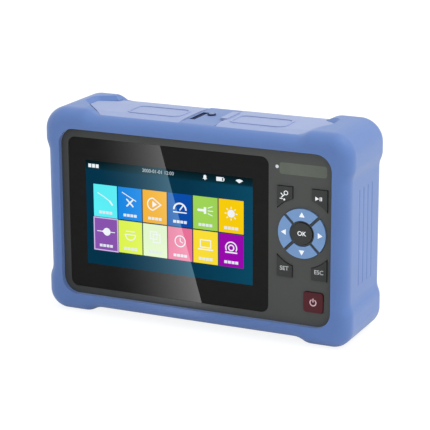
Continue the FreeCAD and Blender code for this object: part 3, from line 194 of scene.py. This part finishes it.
# name, colour, roughness, then the size of the grain, the strength of its relief,
# the share by which the tone varies, and the size of its patches
finish = {base_name(material): material for material in (
    moulded("boot_rubber", srgb(93, 127, 189), 0.55, 0.45, 0.25, 0.03, 30, Sheen_Weight=0.35),
    moulded("flap_rubber", srgb(148, 163, 206), 0.6, 0.45, 0.25, 0.03, 20, Sheen_Weight=0.35),
    # panel_plastic's right colour is painted light, the panel lighter to the right
    moulded("panel_plastic", srgb(66, 67, 64), 0.5, 0.4, 0.35, 0.05, right=srgb(84, 85, 81)),
    moulded("case_plastic", srgb(52, 53, 55), 0.55, 0.5, 0.45),
    moulded("stand_plastic", srgb(48, 49, 51), 0.5, 0.5, 0.4),
    moulded("seal_rubber", srgb(34, 34, 35), 0.7, 0.6, 0.3),
    polished("window_glass", srgb(38, 37, 36)),
    moulded("display_metal", srgb(172, 174, 176), 0.35, 0.2, 0.1, stretch=(1, 1, 12), Metallic=1),
    moulded("flex_film", srgb(176, 122, 52), 0.35, 1.5, 0.1, 0.15),
    moulded("silicone", srgb(136, 139, 142), 0.6, 0.5, 0.2),
    moulded("circuit_board", srgb(24, 92, 58), 0.35, 1.2, 0.3, 0.2, 8),
    moulded("steel", srgb(186, 188, 190), 0.3, 0.15, 0.15, stretch=(1, 8, 1), Metallic=1),
    moulded("white_lens", srgb(236, 238, 238), 0.3, 0.8, 0.05, 0.02),
    clear("clear_lens", (0.95, 0.97, 1, 1), 0.02),
    moulded("port_plastic", srgb(33, 33, 34), 0.4, 0.4, 0.2),
    moulded("nickel", srgb(205, 199, 190), 0.22, 0.2, 0.1, stretch=(1, 1, 6), Metallic=1),
    moulded("module_metal", srgb(180, 182, 184), 0.45, 0.3, 0.4, Metallic=1),
    moulded("fibre_yellow", srgb(226, 196, 60), 0.35, 0.3, 0.3, stretch=(1, 1, 4)),
    moulded("battery_wrap", srgb(38, 74, 130), 0.25, 3.0, 0.15, 0.08),
    moulded("key_blue", srgb(126, 164, 213), 0.55, 0.4, 0.2, 0.03),
    moulded("key_dark", srgb(61, 62, 59), 0.55, 0.4, 0.25, 0.05),
    moulded("key_red", srgb(94, 28, 36), 0.5, 0.4, 0.2, 0.06),
    # legend_ink glows a little: painted light that makes the white print brighter than the lamps do
    moulded("legend_ink", srgb(240, 244, 246), 0.5, 0.3, 0.1, 0.02, Emission_Strength=0.22),
    moulded("legend_grey", srgb(214, 216, 214), 0.5, 0.3, 0.1, 0.02),
    moulded("legend_pink", srgb(236, 196, 202), 0.5, 0.3, 0.1, 0.02),
    moulded("frosted_lens", srgb(138, 155, 168), 0.45, 0.6, 0.1, 0.04),
    # lining's dark navy is painted shade, the colour of the shaded slot; the torch ring wears it
    # too
    moulded("lining", srgb(44, 56, 90), 0.7, 0.5, 0.3, 0.05, Specular_IOR_Level=0.2),
    moulded("label_film", srgb(106, 112, 98), 0.4, 0.8, 0.15, 0.08, 9),
)}

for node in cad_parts.values():
    for slot in node.material_slots:
        if base_name(slot.material) in finish:
            slot.material = finish[base_name(slot.material)]
        else:
            print("no finish for", node.name, slot.material.name)


# ---------------------------------------------------------------- pieces of the looks

CAPITAL_SHARE = 0.69  # the height of a capital letter for a font size of 1


def linked(name, data):
    """A new object in the scene."""
    thing = bpy.data.objects.new(name, data)
    bpy.context.scene.collection.objects.link(thing)
    return thing


def riding(name, mesh, material, body):
    """A mesh as a piece that rides on a body."""
    piece = linked(name, mesh)
    piece.data.materials.clear()
    piece.data.materials.append(material)
    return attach(piece, body)


def added(name, points, faces, material, body):
    """One mesh that rides on a body, from points in mm."""
    mesh = bpy.data.meshes.new(name)
    mesh.from_pydata([tuple(c * MM for c in p) for p in points], [], faces)
    mesh.update()
    return riding(name, mesh, material, body)


def laid_flat(name, shapes, depth, material, body):
    """Flat shapes at that depth, facing the front. Each shape is a ring of (x, z) in mm."""
    points, faces = [], []
    for shape in shapes:
        faces.append(list(range(len(points), len(points) + len(shape))))
        points += [(x, depth, z) for x, z in shape]
    return added(name, points, faces, material, body)


def turned(name, x, y, profile, material, body, steps=40):
    """A round piece about an upright axis, from a profile of (radius, height), outside first."""
    turns = [2 * math.pi * k / steps for k in range(steps)]
    points = [(x + r * math.cos(a), y + r * math.sin(a), z) for r, z in profile for a in turns]
    faces = [[row * steps + k, row * steps + (k + 1) % steps,
              (row + 1) * steps + (k + 1) % steps, (row + 1) * steps + k]
             for row in range(len(profile) - 1) for k in range(steps)]
    return added(name, points, faces, material, body)


def lettering(name, text, x, z, height, depth, material, body, weight=0.0):
    """Plain printed characters centred on a point, as a mesh."""
    curve = bpy.data.curves.new(name, "FONT")
    curve.body = text
    curve.align_x = "CENTER"
    curve.align_y = "CENTER"
    curve.size = height * MM / CAPITAL_SHARE
    curve.offset = weight * MM
    carrier = linked(name + "_outline", curve)
    bpy.context.view_layer.update()
    shaped = carrier.evaluated_get(bpy.context.evaluated_depsgraph_get())
    mesh = bpy.data.meshes.new_from_object(shaped)
    bpy.data.objects.remove(carrier)
    upright = Matrix.Rotation(math.pi / 2, 4, "X")
    mesh.transform(Matrix.Translation((x * MM, depth * MM, z * MM)) @ upright)
    return riding(name, mesh, material, body)


# Flat shapes: each function returns a list of rings of (x, z) in mm.

def moved(shapes, dx, dz):
    return [[(dx + x, dz + z) for x, z in shape] for shape in shapes]


def arc(x, z, radius, start, end, steps=24):
    """Points on a circle from one angle to another, in degrees. This is one ring, not a list."""
    angles = [math.radians(start + (end - start) * k / steps) for k in range(steps + 1)]
    return [(x + radius * math.cos(a), z + radius * math.sin(a)) for a in angles]


def disc(x, z, radius):
    return [arc(x, z, radius, 0, 360)[:-1]]


def band(x, z, outer, inner, start=0, end=360, steps=24):
    """A ring or part of one, as a strip of four-sided shapes."""
    far, near = arc(x, z, outer, start, end, steps), arc(x, z, inner, start, end, steps)
    return [[far[k], far[k + 1], near[k + 1], near[k]] for k in range(steps)]


def bar(first, second, width):
    """A straight stroke between two points."""
    ahead = Vector((second[0] - first[0], second[1] - first[1])).normalized() * width / 2
    side = (-ahead.y, ahead.x)
    ends = [(first, 1), (first, -1), (second, -1), (second, 1)]
    return [[(p[0] + s * side[0], p[1] + s * side[1]) for p, s in ends]]


def stroke(points, width):
    """A line through points, with round corners and ends."""
    shapes = []
    for first, second in zip(points, points[1:]):
        shapes += bar(first, second, width) + disc(*second, width / 2)
    return shapes + disc(*points[0], width / 2)


def sheet_of(x0, x1, z0, z1, corner=0.0):
    """A rectangle, its corners rounded if a radius is given."""
    if not corner:
        return [[(x0, z0), (x1, z0), (x1, z1), (x0, z1)]]
    spots = [(x1 - corner, z1 - corner, 0), (x0 + corner, z1 - corner, 90)]
    spots += [(x0 + corner, z0 + corner, 180), (x1 - corner, z0 + corner, 270)]
    return [[p for x, z, a in spots for p in arc(x, z, corner, a, a + 90, 8)]]


def frame_of(x0, x1, z0, z1, width):
    """A rectangular outline of that stroke width, inside the rectangle."""
    inner = z0 + width, z1 - width
    return (sheet_of(x0, x1, z0, z0 + width) + sheet_of(x0, x1, z1 - width, z1)
            + sheet_of(x0, x0 + width, *inner) + sheet_of(x1 - width, x1, *inner))


def box_mm(node):
    low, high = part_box(node)
    return low / MM, high / MM


def middle_of(node):
    """The X, Y and Z of a node's middle, in mm."""
    low, high = box_mm(node)
    return [(a + b) / 2 for a, b in zip(low, high)]


def front_of(node):
    """The depth of a node's front, in mm."""
    return box_mm(node)[0].y


# ---------------------------------------------------------------- window and screen

LIT_LEFT, LIT_RIGHT, LIT_BOTTOM, LIT_TOP = -70.6, 37.4, 31.1, 94.6
BRIGHTER_FROM = -5  # the backdrop grows brighter from here to its right edge
STRIP_START, STRIP_BLUR = 89.6, 0.6  # the lower edge of the status strip, and half its softness
PRINT = 0.02  # how far a printed sign or the display's backdrop stands off, in mm
LAYER = 0.01  # the step in depth between the layers of the display's picture
TILES, MARKS = 1, 2  # the layers above the backdrop

screen_depth = front_of("display_window") - PRINT


def glowing(name, glow, level, tint):
    """A part of the display under polished glass; level and tint are those of its gloss."""
    material, tree, shader = new_material(
        name, Emission_Strength=glow, Base_Color=UNLIT, Specular_IOR_Level=level,
        Specular_Tint=tint)
    smeared(tree, shader)
    return material, tree, shader.inputs["Emission Color"]


def backdrop(name, left_colour, right_colour, strip_colour, top_colour):
    """The display's own backdrop: brighter to the right, with a dark status strip at its top."""
    material, tree, emission = glowing(name, 1.0, 0.66, (0.4, 0.8, 1, 1))
    body = mixed(tree, along(tree, "X", BRIGHTER_FROM, LIT_RIGHT), left_colour, right_colour)
    strip = mixed(tree, along(tree, "Z", STRIP_START, LIT_TOP), strip_colour, top_colour)
    into_strip = along(tree, "Z", STRIP_START - STRIP_BLUR, STRIP_START + STRIP_BLUR)
    tree.links.new(mixed(tree, into_strip, body, strip), emission)
    return material


def lit(name, colour, glow, shade=0.05):
    """A spot of the display: its colour glows, and drifts to one darker by that share.

    Its gloss is strongest in the channels where the colour is of a middling tone.
    """
    tint = [0.3 + 2.2 * tone * (1 - tone) for tone in (c ** 0.45 for c in colour[:3])] + [1]
    material, tree, emission = glowing(name, glow, 0.85, tint)
    drift = ranged(tree, noise_of(tree, 30 * MM, detail=0.5), 0, 1)
    tree.links.new(mixed(tree, drift, colour, scaled(colour, 1 - shade)), emission)
    return material


def on_screen(name, shapes, layer, material):
    """Flat shapes on one layer of the display's picture."""
    laid_flat(name, shapes, screen_depth - layer * LAYER, material, "case")


on_screen("screen_backdrop", sheet_of(LIT_LEFT, LIT_RIGHT, LIT_BOTTOM, LIT_TOP), 0,
          backdrop("screen_teal", srgb(0, 50, 73), srgb(4, 70, 96), srgb(0, 43, 57),
                   srgb(0, 18, 22)))

# two rows of six tiles; each icon is drawn about (0, 0)
GRID_LEFT, GRID_TOP, PITCH_X, PITCH_Z, GAP = -65.7, 80.6, 16.35, 20.45, 0.7
ICON_DROP = 8.2  # from a tile's upper edge to the middle of its icon
CAPTION_BARS, CAPTION_LEFT, CAPTION_PITCH, CAPTION_WIDTH = 4, -4.4, 2.3, 1.9
CAPTION_BOTTOM, CAPTION_TOP = 2.0, 3.7
TILE_COLOURS = [
    [(94, 246, 254), (6, 136, 234), (245, 174, 22), (2, 76, 171), (159, 213, 86), (252, 208, 4)],
    [(138, 84, 175), (225, 248, 78), (228, 250, 204), (236, 114, 154), (251, 223, 52),
     (152, 2, 172)],
]


def ray(angle, near, far, width):
    """A stroke that points away from (0, 0)."""
    ends = [(r * math.cos(angle), r * math.sin(angle)) for r in (near, far)]
    return bar(*ends, width)


ICONS = [
    [   # a trace that falls
        stroke([(-5, 3), (-1, 1), (3, -1.5)], 0.5) + stroke([(3, -1.5), (4.5, -3.5)], 1.0),
        # a trace and a cross
        stroke([(-5, 5), (-1, 3), (4, 0.5)], 0.5) + stroke([(-2, -3), (2, 1)], 0.9)
        + stroke([(-2, 1), (2, -3)], 0.9),
        # a play sign in an open ring
        band(-1, 0, 4, 3.3, 90, 270) + [[(-1, 4), (-1, 3.2), (3.4, 0), (4.6, 0)],
                                        [(4.6, 0), (3.4, 0), (-1, -3.2), (-1, -4)],
                                        [(-1.5, 2), (-1.5, -2), (1.5, 0)]],
        # a dial
        band(0, -1.5, 4.4, 3.4, 0, 180) + stroke([(0, -1.5), (2, 1.2)], 0.7)
        + bar((-4.4, -3), (4.4, -3), 0.7),
        # a light source
        stroke([(-4.4, 0), (-1, 0)], 1.5) + [[(-1, -2), (0.6, -2), (0.6, 2), (-1, 2)]]
        + bar((1.6, 1.6), (4.6, 2.8), 0.5) + bar((1.6, 0), (5, 0), 0.5)
        + bar((1.6, -1.6), (4.6, -2.8), 0.5),
        # a sun
        disc(0, 0, 2.3) + [s for k in range(8) for s in ray(k * math.pi / 4, 2.9, 4.0, 0.6)]],
    [   # a joint in a line
        bar((-6, 0), (6, 0), 0.5) + disc(0.6, 0, 2.4) + [[(-3, 0), (0, 2), (0, -2)]],
        # a bowl
        band(0, 0, 3.6, 3.0, 180, 360) + bar((-3.8, 0), (3.8, 0), 0.5)
        + bar((-3.0, 2), (3.0, 2), 0.5),
        # two sheets
        frame_of(-1.5, 3.5, -3, 2.5, 0.6) + frame_of(-3.5, 1.5, -1, 4, 0.6),
        # a clock
        band(0, 0, 3.6, 3.0) + stroke([(0, 2), (0, 0), (1.6, -0.8)], 0.5),
        # a computer
        frame_of(-3.6, 3.6, -2, 3, 0.6) + bar((-4.8, -3), (4.8, -3), 0.7),
        # a lens on a stand
        band(0, 0, 3.8, 3.1, -30, 210) + band(0, 0, 2, 1.3) + sheet_of(-3.8, 3.8, -3.2, -2.4)],
]

icons, captions = [], []
for row in range(2):
    for column in range(6):
        x0 = GRID_LEFT + column * PITCH_X
        z1 = GRID_TOP - row * PITCH_Z
        x1, z0 = x0 + PITCH_X - GAP, z1 - PITCH_Z + GAP
        middle = (x0 + x1) / 2
        on_screen(f"screen_tile_{row}_{column}", sheet_of(x0, x1, z0, z1), TILES,
                  lit(f"tile_{row}_{column}", srgb(*TILE_COLOURS[row][column]), 1.0, 0.08))
        icons += moved(ICONS[row][column], middle, z1 - ICON_DROP)
        for k in range(CAPTION_BARS):
            start = middle + CAPTION_LEFT + CAPTION_PITCH * k
            captions += sheet_of(start, start + CAPTION_WIDTH,
                                 z0 + CAPTION_BOTTOM, z0 + CAPTION_TOP)
white = lit("screen_white", srgb(240, 246, 250), 1.0, 0.03)
dim = lit("screen_dim", srgb(214, 228, 238), 0.8)
on_screen("screen_icons", icons, MARKS, white)
on_screen("screen_captions", captions, MARKS, lit("screen_caption", srgb(236, 244, 250), 0.92))

# an outline around the lower left tile
OUTLINE_OUT, OUTLINE_WIDTH = 0.4, 0.7
second_top = GRID_TOP - PITCH_Z
on_screen("screen_selection",
          frame_of(GRID_LEFT - OUTLINE_OUT, GRID_LEFT + PITCH_X - GAP + OUTLINE_OUT,
                   second_top - PITCH_Z + GAP - OUTLINE_OUT, second_top + OUTLINE_OUT,
                   OUTLINE_WIDTH),
          MARKS, lit("screen_outline", srgb(216, 190, 240), 1.0))

# the status strip: bars in place of words, a clock, a bell, a battery and a wireless sign
words = [s for k in range(3) for s in sheet_of(-68.8 + 2.45 * k, -66.8 + 2.45 * k, 90.4, 92.6)]
bell = moved(disc(0, 0.3, 0.9) + sheet_of(-0.9, 0.9, -0.9, 0.3) + sheet_of(-1.3, 1.3, -1.2, -0.8)
             + disc(0, -1.4, 0.4), 7.4, 92.4)
battery = moved(sheet_of(-2.4, 1.2, -1.2, 1.2) + frame_of(-2.4, 2.2, -1.2, 1.2, 0.35)
                + sheet_of(2.3, 2.8, -0.6, 0.6), 17.0, 92.1)
wireless = moved([[(0, -1.1)] + arc(0, -2.6, 3.8, 52, 128, 10)], 29.0, 92.0)
on_screen("screen_status_icons", bell + battery + wireless + words, MARKS, white)
lettering("screen_clock", "2000-01-01 12:00", -22.8, 92.1, 2.0, screen_depth - MARKS * LAYER, dim,
          "case")


# ---------------------------------------------------------------- keypad legends and label

key_face = front_of("enter_key") - PRINT
pad_x, _, pad_z = middle_of("enter_key")

ARROW_REACH = 10.9  # from the middle of the pad
ARROW = [(1.75, 0), (-1.2, 1.7), (-1.2, -1.7)]  # points outward along the first number
for name, turn in (("right", 0), ("up", 90), ("left", 180), ("down", 270)):
    cos, sin = math.cos(math.radians(turn)), math.sin(math.radians(turn))
    ring = [(pad_x + (ARROW_REACH + out) * cos - side * sin,
             pad_z + (ARROW_REACH + out) * sin + side * cos) for out, side in ARROW]
    laid_flat(name + "_arrow", [ring], key_face, finish["legend_ink"], name + "_button")

# key, word, shift along Z, height and extra weight in mm, ink
for key, word, shift, height, weight, ink in (("enter", "OK", 0, 2.5, 0.05, "legend_ink"),
                                              ("setup", "SET", -1.9, 2.4, 0.03, "legend_grey"),
                                              ("escape", "ESC", -1.9, 2.4, 0.03, "legend_grey")):
    x, _, z = middle_of(key + "_key")
    lettering(key + "_legend", word, x, z + shift, height, key_face, finish[ink], key + "_button",
              weight)

play_pause = ([[(-1.9, -1.2), (0.3, 0), (-1.9, 1.2)]] + sheet_of(0.7, 1.2, -1.1, 1.1)
              + sheet_of(1.6, 2.1, -1.1, 1.1))
lens = (band(1.2, 2.0, 1.35, 0.9) + bar((0.3, 1.0), (-1.6, -0.9), 0.5)
        + bar((-1.9, 1.8), (-0.6, 0.2), 0.5) + bar((-2.6, -1.4), (-0.8, -1.6), 0.5)
        + disc(0.2, -1.9, 0.6))
power = band(0, 0, 2.15, 1.5, 120, 420, 30) + bar((0, 0.2), (0, 2.5), 0.65)
for key, sign, dx, dz, ink, slot in (("run", play_pause, -0.6, 1.8, "legend_ink", "white_lens"),
                                     ("search", lens, -0.4, 1.2, "legend_ink", "white_lens"),
                                     ("power", power, 0, 0, "legend_pink", "key_red")):
    x, _, z = middle_of(key + "_key")
    laid_flat(key + "_legend", moved(sign, x + dx, z + dz), front_of(key + "_key") - PRINT,
              finish[ink], key + "_button")

LABEL_STAND_OFF = 0.03
laid_flat("label_plate", sheet_of(53.9, 82.6, 99.3, 106.0, 1.6),
          front_of("front_housing") - LABEL_STAND_OFF, finish["label_film"], "case")


# ---------------------------------------------------------------- torch and slot on the top

low, high = box_mm("torch_bezel")
torch_x, torch_y, _ = middle_of("torch_bezel")
ring_radius, ring_foot = (high.x - low.x) / 2, high.z
LENS_RADIUS, RING_EDGE = 1.9, 0.3
ring_top = ring_foot + 1.5
turned("torch_ring", torch_x, torch_y,
       [(ring_radius, ring_foot), (ring_radius, ring_top - RING_EDGE),
        (ring_radius - RING_EDGE, ring_top), (LENS_RADIUS, ring_top), (LENS_RADIUS, ring_foot)],
       finish["lining"], "case")

CAP_SINK, CAP_RISE, CAP_TIP = 0.2, 0.6, 0.02  # the dome's foot below the ring, its height, its tip
dome = [(LENS_RADIUS * math.cos(a), ring_top - CAP_SINK + CAP_RISE * math.sin(a))
        for a in (math.radians(15 * k) for k in range(6))]
turned("torch_cap", torch_x, torch_y, dome + [(CAP_TIP, ring_top - CAP_SINK + CAP_RISE)],
       finish["frosted_lens"], "case")

# a dark box filling the slot: painted shade where the slot lies in shade
SLOT_X, SLOT_Y, SLOT_Z = (-9.38, -5.72), (-10.98, 8.48), (121.22, 121.9)
added("slot_painted_shade", [(x, y, z) for z in SLOT_Z for x, y in sheet_of(*SLOT_X, *SLOT_Y)[0]],
      [[0, 1, 2, 3]] + [[k + 4, (k + 1) % 4 + 4, (k + 1) % 4, k] for k in range(4)],
      finish["lining"], "case")


# ---------------------------------------------------------------- camera

AIM, DISTANCE = Vector((10.56, -18.5, 68.4)) * MM, 1039.8 * MM
yaw, pitch, roll = math.radians(25.25), math.radians(15.65), math.radians(-0.27)
ahead = Vector((-math.sin(yaw) * math.cos(pitch), math.cos(yaw) * math.cos(pitch),
                -math.sin(pitch)))
level = Vector((math.cos(yaw), math.sin(yaw), 0))
upward = level.cross(ahead)
across = level * math.cos(roll) + upward * math.sin(roll)
above = upward * math.cos(roll) - level * math.sin(roll)
place = AIM - ahead * DISTANCE
camera_data = bpy.data.cameras.new("camera")
camera_data.sensor_width = 36
camera_data.lens = 150.42
camera = linked("camera", camera_data)
camera.matrix_world = Matrix((
    (across.x, above.x, -ahead.x, place.x),
    (across.y, above.y, -ahead.y, place.y),
    (across.z, above.z, -ahead.z, place.z),
    (0, 0, 0, 1),
))
bpy.context.scene.camera = camera


# ---------------------------------------------------------------- floor and world

def level_sheet(name, corners, material):
    """A flat sheet of the studio, from corners of (x, y) in mm."""
    mesh = bpy.data.meshes.new(name)
    mesh.from_pydata([(x * MM, y * MM, 0) for x, y in corners], [], [list(range(len(corners)))])
    mesh.materials.append(material)
    return linked(name, mesh)


def either(tree, factor, first, second):
    """A shader between two, by a factor."""
    mix = tree.nodes.new("ShaderNodeMixShader")
    tree.links.new(factor, mix.inputs["Fac"])
    tree.links.new(first, mix.inputs[1])
    tree.links.new(second, mix.inputs[2])
    return mix.outputs[0]


def seen_by_camera(tree):
    return tree.nodes.new("ShaderNodeLightPath").outputs["Is Camera Ray"]


def floor_material():
    """A white floor, partly plain white so that it stays bright under a soft shadow.

    It is clear from below.
    """
    material, tree, shader = new_material(
        "studio_floor", Base_Color=(0.85, 0.85, 0.85, 1), Roughness=0.9, Specular_IOR_Level=0.0)
    glow = tree.nodes.new("ShaderNodeEmission")
    glow.inputs["Color"].default_value = (1, 1, 1, 1)
    glow.inputs["Strength"].default_value = 1.2
    plain_share = maths(tree, "MULTIPLY", seen_by_camera(tree), 0.72)
    above = either(tree, plain_share, shader.outputs[0], glow.outputs[0])
    clear_below = tree.nodes.new("ShaderNodeBsdfTransparent").outputs[0]
    underside = tree.nodes.new("ShaderNodeNewGeometry").outputs["Backfacing"]
    tree.links.new(either(tree, underside, above, clear_below),
                   tree.nodes["Material Output"].inputs["Surface"])
    return material


FLOOR_REACH, FLOOR_DROP = 4000, 0.2  # in mm; the drop keeps the floor clear of the feet
reach = -FLOOR_REACH, FLOOR_REACH
floor = level_sheet("studio_floor", sheet_of(*reach, *reach)[0], floor_material())
floor.location.z = -FLOOR_DROP * MM

world = bpy.data.worlds.new("studio")
bpy.context.scene.world = world
world.use_nodes = True
sky = world.node_tree
background = sky.nodes["Background"]
background.inputs["Color"].default_value = (0.93, 0.96, 1.0, 1)
background.inputs["Strength"].default_value = 0.8
plain = sky.nodes.new("ShaderNodeBackground")
plain.inputs["Color"].default_value = (1, 1, 1, 1)
sky.links.new(either(sky, seen_by_camera(sky), background.outputs[0], plain.outputs[0]),
              sky.nodes["World Output"].inputs["Surface"])


# ---------------------------------------------------------------- lights and mirror cards

def softbox(name, place, aim, width, height, watts):
    data = bpy.data.lights.new(name, "AREA")
    data.shape = "RECTANGLE"
    data.size = width
    data.size_y = height
    data.energy = watts
    lamp = linked(name, data)
    lamp.location = place
    lamp.rotation_euler = (Vector(aim) - Vector(place)).to_track_quat("-Z", "Y").to_euler()


def mirror_card(name, corners, material):
    """A flat card low in front of the object that only its glossy surfaces see."""
    card = level_sheet(name, corners, material)
    for ray_kind in ("camera", "diffuse", "transmission", "volume_scatter", "shadow"):
        setattr(card, "visible_" + ray_kind, False)
    return card


def card_material(name, glow):
    """A dull black card that glows that much."""
    return new_material(name, Base_Color=(0.01, 0.01, 0.01, 1), Roughness=0.9,
                        Specular_IOR_Level=0.0, Emission_Color=(1, 1, 1, 1), Emission_Strength=glow)


def fading_card_material(name, length, far, near):
    """A card that glows along its right edge, where X is 0, and fades to the left.

    Far and near are the glow and the width of the fade in mm, where Y is 0 and at that length.
    """
    material, tree, shader = card_material(name, 0)
    place = own_place(tree)
    ends = 0, length * MM
    width = ranged(tree, place["Y"], -far[1] * MM, -near[1] * MM, ends)
    glow = ranged(tree, place["Y"], far[0], near[0], ends)
    fall = ranged(tree, maths(tree, "DIVIDE", place["X"], width), 1, 0, (0, 1))
    tree.links.new(maths(tree, "MULTIPLY", maths(tree, "POWER", fall, 2), glow),
                   shader.inputs["Emission Strength"])
    return material


softbox("key_light", (0.8, 0.2, 1.5), (0, 0, 0.06), 0.8, 0.8, 10)
softbox("side_light", (1.5, -0.1, 0.5), (0, 0, 0.06), 0.6, 0.8, 0.6)
softbox("fill_light", (0.7, -1.0, 0.6), (0.05, 0, 0.06), 0.6, 0.6, 0.8)

FLAG_HEIGHT, STREAK_HEIGHT = 1, 2  # in mm
flag = mirror_card("dark_flag", sheet_of(-420, 300, -700, -45)[0],
                   card_material("flag_black", 0.03)[0])
flag.location.z = FLAG_HEIGHT * MM

# two points of the floor that the glowing card's right edge passes over, in mm
EDGE_NEAR, EDGE_FAR = Vector((-19.8, -73.9)), Vector((-227.3, -427.5))
lean = math.atan2(EDGE_NEAR.x - EDGE_FAR.x, EDGE_NEAR.y - EDGE_FAR.y)
streak = mirror_card("window_reflection", [(-92, -68), (0, -14), (0, 455), (-82, 407)],
                     fading_card_material("streak_glow", 420, (2.4, 58), (3.35, 52.6)))
streak.location = (EDGE_FAR.x * MM, EDGE_FAR.y * MM, STREAK_HEIGHT * MM)
streak.rotation_euler.z = -lean

scene = bpy.context.scene
scene.view_settings.view_transform = "Standard"
